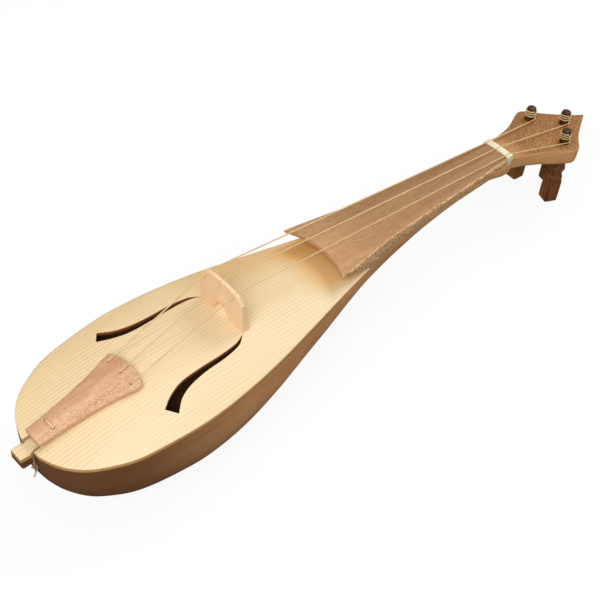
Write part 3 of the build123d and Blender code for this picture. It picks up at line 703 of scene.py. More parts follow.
@dataclass(frozen=True)
class Hardwood:
    """Oiled hardwood with long streaks, fine pores, and ray flecks that catch the light."""

    name: str
    main: tuple[float, ...]
    deep: tuple[float, ...]
    light: tuple[float, ...]
    fleck: tuple[float, ...]
    streak: float = 0.55
    flecks: float = 0.4
    fleck_size_mm: tuple[float, float, float] = (5.0, 0.9, 1.4)
    fleck_axis: str = "Y"
    fleck_from_mm: tuple[float, float] = (900.0, -900.0)
    patchy: float = 1.0
    shades: tuple[tuple[str, float, float, float], ...] = ()
    figure: Faces = Faces.NONE
    figure_dark_and_shade: tuple[float, ...] = srgb(140, 92, 54)
    steep_painted_light: tuple[float, ...] = srgb(244, 200, 148)
    figure_size_mm: tuple[float, float, float] = (2.6, 1.8, 1.15)
    figure_level: tuple[float, float] = (0.84, 0.975)
    figure_from_mm: tuple[float, float] = (-900.0, -800.0)
    pores: float = 0.5
    roughness: float = 0.46
    shine: float = 0.18
    coat: float = 0.0
    turn: tuple[float, float, float] = (0.0, 0.0, 0.0)

    def material(self) -> bpy.types.Material:
        """Streaks are noise drawn out along the grain, pores are shorter noise past a limit, and
        flecks are the cells of a drawn-out cell pattern near their middles. Dashes are wavy dark
        rays that only show on the faces that stand steep.

        Returns:
            The finish.
        """
        n = Nodes(self.name)
        wide = n.noise(n.scaled((3.0, 38.0, 30.0), self.turn), 3.0, 0.5, 0.6)
        narrow = n.noise(n.scaled((9.0, 240.0, 200.0), self.turn), 3.0, 0.6, 0.3)
        pore = n.noise(n.scaled((120.0, 2600.0, 2300.0), self.turn), 2.0, 0.5)
        cells = n.add("TexVoronoi", {
            "Vector": n.scaled([1000.0 / size for size in self.fleck_size_mm], self.turn), "Scale": 1.0,
            "Randomness": 0.9})
        ray = n.ramp(cells.outputs["Distance"], [(0.20, 1.0), (0.46, 0.0)])
        bare = 1.0 - self.patchy
        where = n.noise(n.scaled((26.0, 70.0, 60.0), self.turn), 2.0)
        where = n.sum("MAXIMUM", n.ramp(where, [(0.38, 0.0), (0.56, 1.0)]), bare)
        ray = n.sum("MULTIPLY", n.sum("MULTIPLY", ray, where), n.between(self.fleck_axis, *self.fleck_from_mm))
        tone = n.mix(n.ramp(wide, [(0.32, 0.0), (0.68, 1.0)]), self.main, self.light)
        tone = n.mix(n.sum("MULTIPLY", n.ramp(narrow, [(0.42, 0.0), (0.72, 1.0)]), self.streak), tone, self.deep)
        for axis, begin, full, share in self.shades:
            tone = n.mix(n.sum("MULTIPLY", n.between(axis, begin, full), share), tone, self.deep)
        tone = n.mix(n.sum("MULTIPLY", ray, self.flecks), tone, self.fleck)
        dark = n.ramp(pore, [(0.56, 0.0), (0.68, 1.0)])
        tone = n.mix(n.sum("MULTIPLY", dark, self.pores), tone, self.deep)
        if self.figure is not Faces.NONE:
            tone = self.figured(n, tone)
        rough = n.sum("MULTIPLY_ADD", narrow, 0.16, self.roughness - 0.06)
        rough = n.sum("MULTIPLY_ADD", ray, -0.10, rough)
        relief = n.sum("SUBTRACT", n.sum("MULTIPLY", narrow, 0.5), n.sum("MULTIPLY", dark, 0.7))
        return n.dress(tone, rough, relief, 0.00010, Specular_IOR_Level=self.shine, Coat_Weight=self.coat,
                       Coat_Roughness=0.28)

    def figured(self, n: Nodes, tone: bpy.types.NodeSocket) -> bpy.types.NodeSocket:
        """Lay wavy dark rays, noise past a limit, over painted light on steep faces or painted shade on flat ones.

        Args:
            n: The node maker.
            tone: The colour so far.

        Returns:
            The colour with the rays.
        """
        wavy = n.noise(n.scaled([1000.0 / q for q in self.figure_size_mm], self.turn), 2.0, 0.6, 0.8)
        facing = n.add("SeparateXYZ", {0: n.add("NewGeometry").outputs["Normal"]})
        low, high = self.figure_level
        up = n.sum("ABSOLUTE", facing.outputs["Z"])
        steep = n.ramp(up, [(low, 1.0), (high, 0.0)])
        beside = n.ramp(n.sum("ABSOLUTE", facing.outputs["X"]), [(0.45, 1.0), (0.7, 0.0)])
        shown = n.sum("MULTIPLY", steep, beside)
        if self.figure is Faces.FLAT:
            shown = n.ramp(up, [(low, 0.0), (high, 1.0)])
        shown = n.sum("MULTIPLY", shown, n.between("X", *self.figure_from_mm))
        if self.figure is Faces.STEEP:
            # Painted light: steep faces take the pale colour whole, under their rays.
            tone = n.mix(shown, tone, self.steep_painted_light)
        else:
            # Painted shade: flat faces are pulled a third of the way to the dark colour, under their rays.
            tone = n.mix(n.sum("MULTIPLY", shown, 0.35), tone, self.figure_dark_and_shade)
        return n.mix(n.sum("MULTIPLY", n.ramp(wavy, [(0.46, 0.0), (0.56, 1.0)]), shown), tone, self.figure_dark_and_shade)


@dataclass(frozen=True)
class Bone:
    """Polished bone: ivory with faint straight canals and a soft, slightly waxy gloss."""

    name: str = "bone"
    pale: tuple[float, ...] = srgb(246, 236, 210)
    warm: tuple[float, ...] = srgb(228, 208, 166)

    def material(self) -> bpy.types.Material:
        """Cloudy noise for the tone, and fine noise drawn out across the nut for the canals.

        Returns:
            The finish.
        """
        n = Nodes(self.name)
        cloud = n.noise(n.scaled((260.0, 120.0, 260.0)), 3.0)
        canal = n.noise(n.scaled((2400.0, 180.0, 2400.0)), 2.0)
        colour = n.mix(n.ramp(cloud, [(0.35, 0.0), (0.75, 0.8)]), self.pale, self.warm)
        colour = n.mix(n.ramp(canal, [(0.60, 0.0), (0.72, 0.4)]), colour, self.warm)
        rough = n.sum("MULTIPLY_ADD", cloud, 0.15, 0.25)
        return n.dress(colour, rough, canal, 0.00003, Subsurface_Weight=0.12, Subsurface_Scale=0.002,
                       Specular_IOR_Level=0.5)


@dataclass(frozen=True)
class Gut:
    """Twisted gut: straw-coloured, a little see-through, with slanting strand lines."""

    name: str = "gut"
    straw: tuple[float, ...] = srgb(242, 214, 162)
    shade: tuple[float, ...] = srgb(204, 166, 108)
    # Colour of the painted shade on the gut round the tail stub.
    stub_shade: tuple[float, ...] = srgb(112, 78, 44)
    lay_mm: float = 4.0

    def material(self) -> bpy.types.Material:
        """Strand lines are a sine of the turn round the gut plus the run over the lay length.

        Returns:
            The finish.
        """
        n = Nodes(self.name)
        parts = n.add("SeparateXYZ", {0: n.place.outputs["UV"]})
        turn = n.sum("MULTIPLY_ADD", parts.outputs["Y"], 1.0 / self.lay_mm, parts.outputs["X"])
        wave = n.sum("SINE", n.sum("MULTIPLY", turn, 4.0 * math.pi))
        strand = n.sum("MULTIPLY_ADD", wave, 0.5, 0.5)
        cloud = n.noise(n.scaled((90.0, 90.0, 90.0)), 3.0)
        colour = n.mix(n.ramp(cloud, [(0.3, 0.0), (0.8, 0.7)]), self.straw, self.shade)
        colour = n.mix(n.ramp(strand, [(0.0, 0.45), (0.4, 0.0)]), colour, self.shade)
        # Painted shade: the gut round the tail stub and its knot darkens below the rim, but not its hanging end.
        loop = n.sum("MULTIPLY", n.between("X", -285.0, -296.0), n.between("Z", 77.0, 71.0))
        loop = n.sum("MULTIPLY", loop, n.between("Z", 51.0, 54.0))
        colour = n.mix(n.sum("MULTIPLY", loop, 0.75), colour, self.stub_shade)
        return n.dress(colour, 0.38, strand, 0.00005, Specular_IOR_Level=0.5, Subsurface_Weight=0.1,
                       Subsurface_Scale=0.001)


@dataclass(frozen=True)
class Finishes:
    """All finishes of the instrument, made once."""

    spruce: bpy.types.Material
    body: bpy.types.Material
    tailpiece: bpy.types.Material
    fingerboard: bpy.types.Material
    bridge: bpy.types.Material
    peg: bpy.types.Material
    bone: bpy.types.Material
    gut: bpy.types.Material

    @classmethod
    def made(cls) -> Finishes:
        """Write every material.

        Returns:
            The set.
        """
        # Painted shade: the body darkens towards its far side, its lower side and its tail end; on the flat of the
        # head the whole face is pulled towards the figure's dark colour.
        body = Hardwood("body_wood", srgb(198, 142, 90), srgb(74, 36, 8), srgb(218, 166, 114),
                        srgb(120, 76, 36), streak=0.14, flecks=0.25, fleck_size_mm=(3.4, 1.6, 1.6),
                        pores=0.20, shine=0.06, figure=Faces.FLAT, figure_dark_and_shade=srgb(142, 97, 54),
                        figure_size_mm=(1.3, 2.2, 2.2), figure_level=(0.55, 0.9), figure_from_mm=(205.0, 230.0),
                        shades=(("Y", -8.0, 30.0, 0.20), ("Z", 54.0, 22.0, 0.30), ("X", -120.0, -290.0, 0.84)))
        # Painted shade: the tailpiece's shade darkens its far side.
        tailpiece = Hardwood("tailpiece_wood", srgb(216, 166, 126), srgb(156, 98, 62), srgb(236, 192, 154),
                             srgb(250, 218, 182), streak=0.30, flecks=0.8, fleck_size_mm=(2.2, 1.0, 1.0),
                             fleck_from_mm=(7.0, -6.0), shine=0.10, shades=(("Y", 3.0, 12.0, 0.22),))
        # Painted shade: the fingerboard's shades darken its far side and its run from the end towards the nut; its
        # steep sides take the pale figure colour as painted light.
        board = Hardwood("fingerboard_wood", srgb(202, 154, 108), srgb(104, 66, 34), srgb(220, 174, 128),
                         srgb(224, 182, 136), streak=0.20, flecks=0.3, fleck_size_mm=(3.0, 1.0, 1.0),
                         fleck_from_mm=(0.0, -25.0), shine=0.12, figure=Faces.STEEP,
                         figure_dark_and_shade=srgb(178, 124, 78),
                         shades=(("Y", -4.0, 26.0, 0.18), ("X", -30.0, 50.0, 0.32), ("X", 60.0, 190.0, 0.22)))
        bridge = Hardwood("bridge_wood", srgb(250, 211, 164), srgb(220, 168, 120), srgb(253, 222, 182),
                          srgb(226, 174, 126), streak=0.22, flecks=0.5, fleck_size_mm=(0.9, 2.4, 0.9),
                          pores=0.25, roughness=0.55, turn=(0.0, 0.0, math.pi / 2))
        peg = Hardwood("peg_wood", srgb(84, 44, 16), srgb(28, 12, 6), srgb(176, 106, 40),
                       srgb(140, 86, 34), streak=0.65, flecks=0.15, fleck_size_mm=(2.4, 0.5, 0.5),
                       pores=0.6, roughness=0.30, shine=0.22, coat=0.06, turn=(0.0, math.pi / 2, 0.0),
                       shades=(("Z", 62.0, 76.0, 0.70),))
        return cls(Spruce().material(), body.material(), tailpiece.material(), board.material(),
                   bridge.material(), peg.material(), Bone().material(), Gut().material())


@dataclass
class Bowl:
    """The carved bowl, neck and leaf-shaped head in one piece, with the tail stub."""

    hull: list[tuple[float, float, float]] = field(default_factory=lambda: [
        (12.0, 12.0, 25.0), (16.0, 23.5, 35.0), (22.0, 34.5, 44.0), (32.0, 45.5, 52.5),
        (46.0, 54.5, 59.5), (66.0, 63.0, 66.0), (95.0, 67.6, 72.0), (130.0, 70.0, 75.0),
        (170.0, 67.0, 72.0), (210.0, 60.3, 61.0), (250.0, 51.0, 48.0), (290.0, 41.0, 39.0),
        (335.0, 30.2, 33.0), (357.0, 26.2, 30.0), (380.0, 23.4, 24.5), (410.0, 20.6, 16.5),
        (450.0, 18.0, 11.0), (490.0, 16.4, 11.5), (536.0, 14.4, 12.5)])
    head: list[tuple[float, float]] = field(default_factory=lambda: [
        (-6.0, 14.9), (6.0, 16.6), (24.0, 20.0), (40.0, 24.2), (54.0, 30.4), (65.0, 35.6),
        (71.5, 37.4), (78.0, 34.6), (88.0, 26.0), (96.0, 20.0), (106.0, 13.6), (118.0, 6.6),
        (128.0, 0.4)])
    board_end: float = 335.0
    rim_radius: float = 3500.0
    rim_apex: float = 212.0
    board_edge: float = 3.6
    wall_side: float = 6.0
    wall_floor: float = 5.0
    hollow: tuple[float, float] = (22.0, 290.0)
    nut_back: float = 530.4
    head_start: float = 3.5
    head_tilt_deg: float = 10.0
    head_thickness: float = 18.5
    root_thickness: float = 13.5
    full_at: float = 52.0
    peg_tilt_deg: float = 4.0
    stub_half: float = 6.8
    stub_bottom: float = -17.0
    stub_top: float = -9.4
    groove: tuple[float, float, float] = (10.6, 2.2, 1.0)
    around: int = 72
    over: int = 40

    def rim(self, x: Array) -> Array:
        """Height of the soundboard's top edge: a shallow circle that peaks at rim_apex."""
        return -((np.asarray(x, dtype=float) - self.rim_apex) ** 2) / (2 * self.rim_radius)

    @property
    def neck_top(self) -> float:
        """Height of the flat top of the neck."""
        return float(self.rim(self.board_end))

    def half(self, x: Array) -> Array:
        """Half width of the bowl and neck at the rim."""
        return smooth(self.hull, 1, x)

    def on_head(self, u: Array, v: Array, w: Array) -> Array:
        """Points from head coordinates: u along it, v across, w over its front face."""
        a = math.radians(self.head_tilt_deg)
        u, v, w = np.broadcast_arrays(np.asarray(u, float), np.asarray(v, float), np.asarray(w, float))
        x = self.nut_back + u * math.cos(a) + w * math.sin(a)
        z = self.head_start - u * math.sin(a) + w * math.cos(a)
        return np.stack([x, v, z], -1)

    def on_peg(self, side: Side, across: Array, aside: Array, height: Array) -> Array:
        """Points from a peg's own axes: two across it and the height along it, from its seat."""
        a = math.radians(self.peg_tilt_deg)
        u, v = PEG_SEATS[side.index]
        across, height = np.asarray(across, float), np.asarray(height, float)
        along = u + across * math.cos(a) - height * math.sin(a)
        return self.on_head(along, v + np.asarray(aside, float), across * math.sin(a) + height * math.cos(a))

    def sections(self, half: Array, top: Array, deep: Array, full: Array, swell: Array, edge: Array,
                 well: Array) -> Array:
        """Closed rings across the instrument, in (across, up) coordinates.

        The outside is y = half (1 + swell |sin 2t|) cos(t)^(2/n), z = chord - deep sin(t)^(2/n),
        from the height of the top on one side round to the other. Two quarter circles of radius
        edge lead to the top, whose middle is flat, or sinks into the hollow by a curve of the
        same kind.

        Args:
            half: Half widths.
            top: Depth of the top below the chord.
            deep: Depths below the chord.
            full: Exponents n.
            swell: Extra fullness.
            edge: Radii of the top edges.
            well: Depths of the hollow below the top, 0 for none.

        Returns:
            Array of (section, point, 2).
        """
        half, top, deep, full, swell, edge, well = (np.asarray(q, float)[:, None] for q in
                                                    (half, top, deep, full, swell, edge, well))
        start = np.arcsin(np.clip(((top + edge) / deep) ** (full / 2), 0.0, 0.9))
        t = start + (math.pi - 2 * start) * np.linspace(0.0, 1.0, self.around)[None, :]
        c, s = np.cos(t), np.sin(t)
        y = half * (1 + swell * np.abs(np.sin(2 * t))) * np.sign(c) * np.abs(c) ** (2 / full)
        z = -deep * np.abs(s) ** (2 / full)
        a = np.linspace(0.0, math.pi / 2, 5)[None, 1:]
        left_y = y[:, -1:] + edge * (1 - np.cos(a))
        left_z = z[:, -1:] + edge * np.sin(a)
        land = np.minimum(self.wall_side, half * 0.4)
        share = np.linspace(0.0, 1.0, self.over)[None, 1:-1]
        b = math.pi * share
        reach = half - land
        inner_y = -reach * np.sign(np.cos(b)) * np.abs(np.cos(b)) ** (2 / full)
        inner_z = -top - well * np.abs(np.sin(b)) ** (2 / full)
        flat_y = left_y[:, -1:] * (1 - 2 * share)
        hollowed = (well > 0).astype(float)
        mid_y = inner_y * hollowed + flat_y * (1 - hollowed)
        mid_z = inner_z * hollowed - top * (1 - hollowed)
        right_y, right_z = -left_y[:, ::-1], left_z[:, ::-1]
        return np.stack([np.concatenate([y, left_y, mid_y, right_y], 1),
                         np.concatenate([z, left_z, mid_z, right_z], 1)], -1)

    def bowl_rings(self) -> Array:
        """Rings of the bowl and neck, from the tail to the nut.

        Returns:
            Array of (ring, point, 3).
        """
        tail = 12.0 + 26.0 * np.linspace(0.0, 1.0, 40) ** 1.7
        fine = np.arange(39.0, self.nut_back, 2.2)
        marks = [self.hollow[0] - 0.01, self.hollow[0] + 0.01, self.hollow[1] - 0.01, self.hollow[1] + 0.01,
                 self.board_end - 0.01, self.board_end + 0.01]
        x = np.unique(np.concatenate([tail, fine, marks, [self.nut_back]]))
        x = x[np.concatenate([[True], np.diff(x) > 0.005])]
        on_board = x < self.board_end
        chord = self.rim(np.minimum(x, self.board_end))
        deep = smooth(self.hull, 2, x)
        full = 2.8 - 0.6 * np.clip((x - 290.0) / 80.0, 0.0, 1.0)
        swell = 0.08 * np.clip((335.0 - x) / 60.0, 0.0, 1.0) * np.minimum(1.0, (x - 6.0) / 30.0)
        in_well = (x > self.hollow[0]) & (x < self.hollow[1])
        top = np.where(on_board, self.board_edge, 0.0)
        well = np.where(in_well, deep - self.wall_floor - self.board_edge, 0.0)
        root = ease(500.0, self.nut_back, x)
        full = full * (1 - root) + 4.6 * root
        deep = deep + root * (self.root_thickness + 1.6 - 12.35)
        edge = np.where(on_board, 0.02, 0.5)
        ring = self.sections(self.half(x) + 1.0 * root, top, deep, full, swell, edge, well)
        a = math.radians(self.head_tilt_deg) * root[:, None]
        up = ring[..., 1]
        return np.stack([x[:, None] + up * np.sin(a), ring[..., 0], chord[:, None] + up * np.cos(a)], -1)

    def head_rings(self) -> Array:
        """Rings of the head, from the nut's back to the tip, each square to the front face.

        Returns:
            Array of (ring, point, 3).
        """
        u = np.concatenate([[0.0], np.arange(1.0, 118.0, 1.15), 118.0 + 10.0 * np.linspace(0, 1, 16) ** 0.7])
        half = np.maximum(smooth(self.head, 1, u), 0.35)
        blend = ease(0.0, 34.0, u)
        full = 4.6 + 3.4 * blend
        grow = np.clip(u / self.full_at, 0.0, 1.0)
        deep = self.root_thickness + (self.head_thickness - self.root_thickness) * grow
        deep = deep + 1.9 * (1 - ease(-4.0, 26.0, u))
        edge = np.minimum(0.9 + 1.3 * ease(0.0, 24.0, u), half * 0.4)
        zero = np.zeros_like(u)
        ring = self.sections(half, zero, deep, full, zero, edge, zero)
        return self.on_head(u[:, None], ring[..., 0], ring[..., 1])

    def stub(self) -> Skin:
        """The stub that carries the saddle: a block with a groove round it for the tail gut.

        Returns:
            The closed skin.
        """
        at, wide, deep = self.groove
        h = self.stub_half
        near = [(0.0, -h), (at - wide / 2, -h), (at - wide / 2, -h + deep), (at + wide / 2, -h + deep),
                (at + wide / 2, -h), (20.0, -h)]
        loop = np.array(near + [(x, -y) for x, y in near[::-1]])

        def bottom(x: Array, y: Array) -> Array:
            """The underside, with its groove and a slanted outer edge."""
            sunk = (np.abs(x - at) < wide / 2 + 0.05) * deep
            return self.stub_bottom + sunk + 1.6 * np.clip(1 - x / 1.6, 0, 1)

        plate = Plate(subdivided(loop, 0.9), [], 0.9, 0.05, lambda x, y: self.stub_top + 0 * x, bottom, 0.35)
        return plate.skin().outward()

    def build(self, finish: bpy.types.Material) -> bpy.types.Object:
        """Make the carved piece, bore its three peg holes, and set it in the frame.

        Args:
            finish: The body wood.

        Returns:
            The piece.
        """
        rings = np.concatenate([self.bowl_rings(), self.head_rings()])
        skin = loft_skin(rings).with_more(self.stub())
        piece = make_piece("carved_body", skin, finish, 32.0)
        for side in Side:
            drill = self.drill(side)
            cut = piece.modifiers.new("bore", "BOOLEAN")
            cut.operation = "DIFFERENCE"
            cut.solver = "EXACT"
            cut.object = drill
            bpy.context.view_layer.objects.active = piece
            piece.select_set(True)
            bpy.ops.object.modifier_apply(modifier=cut.name)
            bpy.data.objects.remove(drill, do_unlink=True)
        piece.data.polygons.foreach_set("use_smooth", np.ones(len(piece.data.polygons), dtype=bool))
        piece.data.set_sharp_from_angle(angle=math.radians(32.0))
        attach(piece, "instrument")
        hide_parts("body")
        return piece

    def drill(self, side: Side) -> bpy.types.Object:
        """A tapered cutter for one peg's bore, a little flared at the front face.

        Args:
            side: Which peg.

        Returns:
            An object that is removed after its cut.
        """
        height = np.array([4.0, 0.9, 0.0, -0.5, -18.5, -26.0])
        radius = np.array([5.4, 5.2, 4.75, 4.52, 5.48, 5.8])
        a = np.linspace(0.0, 2 * math.pi, 64, endpoint=False)
        rings = self.on_peg(side, radius[:, None] * np.cos(a), radius[:, None] * np.sin(a), height[:, None])
        return make_piece("drill", loft_skin(rings), bpy.data.materials[0])


def subdivided(loop: Array, step: float) -> Array:
    """A closed loop with extra points on its straight runs, at most a step apart."""
    out = []
    for a, b in zip(loop, np.roll(loop, -1, axis=0)):
        parts = max(1, math.ceil(float(np.linalg.norm(b - a)) / step))
        out.append(a + (b - a) * np.linspace(0.0, 1.0, parts, endpoint=False)[:, None])
    return np.concatenate(out)


PEG_SEATS = [(69.0, 22.0), (96.0, 0.0), (69.0, -22.0)]
STRING_RADII = [0.60, 0.52, 0.45]


@dataclass
class Soundboard:
    """The arched spruce board with its two sound holes, glued on the bowl's rim."""

    bowl: Bowl
    arch: float = 12.9
    centre: float = 3.2
    edge: float = 3.6
    ledge: float = 8.0
    hole_inner: list[tuple[float, float]] = field(default_factory=lambda: [
        (105.5, 44.5), (116.0, 38.0), (130.0, 33.2), (150.0, 32.0), (170.0, 32.0), (187.0, 30.6)])
    hole_outer: list[tuple[float, float]] = field(default_factory=lambda: [
        (112.0, 53.0), (122.0, 44.6), (134.0, 39.8), (152.0, 37.0), (172.0, 36.0), (188.0, 33.0)])
    hole_tip: tuple[float, float] = (196.0, 27.2)
    saddle_seat: list[tuple[float, float]] = field(default_factory=lambda: [
        (12.0, 9.32), (17.5, 8.2), (17.5, -8.2), (12.0, -9.32)])

    def share(self, x: Array) -> Array:
        """Share of the full arch: a quarter sine near the tail, 1 in the middle, then a fall."""
        tail = np.sin(math.pi / 2 * np.clip((x - 12.0) / 108.0, 0.0, 1.0)) ** 1.25
        far = 0.15 + 0.85 * np.maximum(np.cos(math.pi / 2 * np.clip((x - 190.0) / 145.0, 0, 1)), 0) ** 1.5
        return np.where(x < 120.0, np.maximum(tail, 0.02), np.where(x < 190.0, 1.0, far))

    def top(self, x: Array, y: Array) -> Array:
        """Height of the face: over the rim, a circle arc that rises by arch times share."""
        half = self.bowl.half(x)
        rise = self.arch * self.share(x)
        radius = (half**2 + rise**2) / (2 * rise)
        return self.bowl.rim(x) + rise - radius + np.sqrt(np.maximum(radius**2 - y**2, 0.0))

    def under(self, x: Array, y: Array) -> Array:
        """Height of the back: flat on the ledge, and parallel to the face inside it."""
        inner = self.top(x, y) - self.centre
        inside_share = ease(0.0, 2.0, self.bowl.half(x) - np.abs(y) - self.ledge)
        return inner * inside_share + (self.bowl.rim(x) - self.edge) * (1 - inside_share)

    def hole(self, sign: int) -> Array:
        """One sound hole: two smooth curves that meet in a point, and a straight slanted end."""
        inner = curve_through([*self.hole_inner, self.hole_tip], 90)
        outer = curve_through([*self.hole_outer, self.hole_tip], 90)
        end = np.linspace(self.hole_outer[0], self.hole_inner[0], 9)[1:-1]
        return np.concatenate([inner[:-1], outer[::-1], end]) * [1.0, sign]

    def build(self, finish: bpy.types.Material) -> bpy.types.Object:
        """Cut the board, round its edges, and lift it into its arch.

        Args:
            finish: The spruce.

        Returns:
            The piece.
        """
        x = np.concatenate([12.0 + 20.0 * np.linspace(0, 1, 26) ** 1.6, np.arange(33.5, 335.0, 1.8), [335.0]])
        side = np.column_stack([x, self.bowl.half(x)])
        front = np.linspace(side[-1], side[-1] * [1, -1], 30)[1:-1]
        loop = np.concatenate([side, front, side[::-1] * [1, -1], np.array(self.saddle_seat[::-1])])
        plate = Plate(loop, [self.hole(1), self.hole(-1)], 2.6, 0.55, self.top, self.under, 0.05)
        piece = make_piece("soundboard_spruce", plate.skin().outward(), finish, 38.0)
        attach(piece, "instrument")
        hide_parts("soundboard")
        return piece


@dataclass
class Slab:
    """A long block with a crowned top: rings across it, from a start line to an end line."""

    half: Callable[[Array, Array], Array]
    top: Callable[[Array, Array], Array]
    bottom: Callable[[Array, Array], Array]
    start: Callable[[Array], Array]
    end: float
    corner: float
    across: int = 48

    def ring(self) -> tuple[Array, Array, Array, Array]:
        """Shape of one ring, walked from the middle of one side over the top and back below.

        Returns:
            Share of the width, sideways and downward share of the corner radius, and a level
            that is 1 on top, 0 in the middle of the sides and -1 below.
        """
        a = np.linspace(0.0, math.pi / 2, 5)
        flat = np.linspace(-1.0, 1.0, self.across)[1:-1]
        width = np.concatenate([[-1.0], -np.ones(5), flat, np.ones(5)])
        out = np.concatenate([[1.0], np.cos(a), np.zeros(len(flat)), np.cos(a[::-1])])
        down = np.concatenate([[1.0], 1 - np.sin(a), np.zeros(len(flat)), 1 - np.sin(a[::-1])])
        level = np.concatenate([[0.0], np.ones(len(width) - 1)])
        back = slice(None, 0, -1)
        width = np.concatenate([width, [1.0], width[back]])
        out = np.concatenate([out, [1.0], out[back]])
        down = np.concatenate([down, [1.0], down[back]])
        level = np.concatenate([level, [0.0], -level[back]])
        return width, out, down, level

    def skin(self, rows: Array) -> Skin:
        """Walk the ring along the slab; both ends are closed by strips between top and bottom.

        Args:
            rows: Shares of the length, from 0 to 1.

        Returns:
            The closed skin.
        """
        width, out, down, level = self.ring()
        rows = np.asarray(rows, float)[:, None]
        y = np.broadcast_to(width * 10.0, (len(rows), len(width)))
        x = None
        for _ in range(6):
            begin = self.start(y)
            x = begin + rows * (self.end - begin)
            share = (level > 0) * 1.0 + (level == 0) * 0.5
            half = self.half(x, share)
            y = width * (half - self.corner) + np.sign(width) * self.corner * out
        upper = self.top(x, y) - self.corner * down
        lower = self.bottom(x, y) + self.corner * down * 0.4
        z = np.where(level > 0, upper, np.where(level < 0, lower, (upper + lower) / 2))
        rings = np.stack([x, y, z], -1)
        count = len(width)
        quads = [grid_faces(len(rows), count, True)]
        j = np.arange(1, count // 2 - 1)
        for base, flip in ((0, False), ((len(rows) - 1) * count, True)):
            strip = np.stack([base + j, base + j + 1, base + count - j - 1, base + count - j], -1)
            tips = np.array([[base, base + 1, base + count - 1],
                             [base + count // 2, base + count // 2 + 1, base + count // 2 - 1]])
            quads.append(strip[:, ::-1] if flip else strip)
            quads.append(tips[:, ::-1] if flip else tips)
        return Skin(rings.reshape(-1, 3), quads).outward()


@dataclass
class Fingerboard:
    """The wedge-shaped fingerboard: hollow-ended over the soundboard, undercut, thin at the nut."""

    bowl: Bowl
    stations: list[tuple[float, float, float]] = field(default_factory=lambda: [
        (292.0, 37.4, 36.8), (315.0, 34.2, 33.4), (335.0, 31.0, 30.2), (357.0, 27.6, 26.2),
        (380.0, 25.2, 23.4), (410.0, 23.2, 20.6), (450.0, 20.6, 18.0), (490.0, 18.0, 16.4),
        (530.0, 15.3, 14.8)])
    end_x: float = 295.5
    end_sag: float = 9.5
    end_half: float = 37.0
    top_tail: float = 17.7
    top_nut: float = 6.2
    crown: float = 1.6
    lip: float = 3.7
    nut_front: float = 523.6

    def end_line(self, y: Array) -> Array:
        """The curved end: a circle arc, hollow towards the bridge."""
        radius = (self.end_half**2 + self.end_sag**2) / (2 * self.end_sag)
        return self.end_x + self.end_sag - radius + np.sqrt(radius**2 - np.asarray(y, float) ** 2)

    def half(self, x: Array, share: Array) -> Array:
        """Half width: the foot's and the top's, mixed by the share of the height."""
        return smooth(self.stations, 2, x) * (1 - share) + smooth(self.stations, 1, x) * share

    def top(self, x: Array, y: Array) -> Array:
        """A straight fall to the nut with a low crown across."""
        run = (x - self.end_x) / (self.nut_front - self.end_x)
        edge = self.top_tail + (self.top_nut - self.top_tail) * run
        return edge + self.crown * (1 - (y / smooth(self.stations, 1, x)) ** 2)

    def bottom(self, x: Array, y: Array) -> Array:
        """The neck's flat, and before it a straight slant up to the lip."""
        lip = self.top_tail - self.lip
        slope = (self.bowl.board_end - self.end_x) / (lip - self.bowl.neck_top)
        return np.maximum(self.bowl.neck_top, lip - (x - self.end_line(y)) / slope)

    def build(self, finish: bpy.types.Material) -> bpy.types.Object:
        """Walk the board from its hollow end to the nut.

        Args:
            finish: The fingerboard wood.

        Returns:
            The piece.
        """
        slab = Slab(self.half, self.top, self.bottom, self.end_line, self.nut_front, 1.6, 64)
        rows = np.unique(np.concatenate([[0.0, 0.0016, 0.004], np.linspace(0.008, 0.2, 34),
                                         np.linspace(0.2, 1.0, 90)]))
        skin = slab.skin(rows)
        first = skin.points[: len(slab.ring()[0])]
        first[:, 2] -= 0.25 * (slab.ring()[3] > 0)
        piece = make_piece("fingerboard_wedge", skin, finish, 35.0)
        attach(piece, "instrument")
        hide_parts("fingerboard")
        return piece


@dataclass
class Strings:
    """The three gut strings: their routes from the tailpiece over bridge and nut to the pegs."""

    tailpiece: Tailpiece
    bowl: Bowl
    bridge_x: float = 198.8
    bridge_gap: float = 17.0
    bridge_z: float = 49.2
    bridge_drop: float = 2.2
    nut_x: float = 527.0
    nut_gap: float = 12.0
    nut_z: float = 8.7
    arrival: float = 2.3
    peg_radius: float = 4.4
    bend: float = 0.9

    def reach(self, side: Side) -> float:
        """Distance of the string's middle from its peg's axis where it arrives."""
        return self.peg_radius + 0.3 + STRING_RADII[side.index]

    def corners(self, side: Side) -> Array:
        """Corners of one string: knot, tailpiece hole, bridge, nut, and the side of its peg."""
        sign, radius = side.sign, STRING_RADII[side.index]
        hole_u, hole_v = self.tailpiece.string_u, sign * self.tailpiece.string_v
        return np.array([
            self.tailpiece.point(hole_u, hole_v, -self.tailpiece.roof - 1.75),
            self.tailpiece.point(hole_u, hole_v, radius + 0.1),
            (self.bridge_x, sign * self.bridge_gap, self.bridge_z - self.bridge_drop * abs(sign)),
            (self.nut_x, sign * self.nut_gap, self.nut_z - 0.4 * abs(sign)),
            self.bowl.on_peg(side, 0.0, -self.reach(side), self.arrival),
        ])

    def build(self, finish: bpy.types.Material) -> list[bpy.types.Object]:
        """Carry a round tube along each route, with a small knot under the tailpiece.

        Args:
            finish: The gut.

        Returns:
            The three pieces.
        """
        made = []
        for side in Side:
            radius = STRING_RADII[side.index]
            corners = self.corners(side)
            path = rounded_route(corners, [self.bend, 6.0, 6.0], 0.22)
            skin = tube_skin(path, radius, 14)
            skin = skin.with_more(knot_skin(corners[0] - [0.0, 0.0, 0.2], 0.52, radius * 0.95))
            piece = make_piece(f"gut_string_{side.word}", skin, finish, 60.0)
            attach(piece, "instrument")
            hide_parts(f"string_{side.word}")
            made.append(piece)
        return made


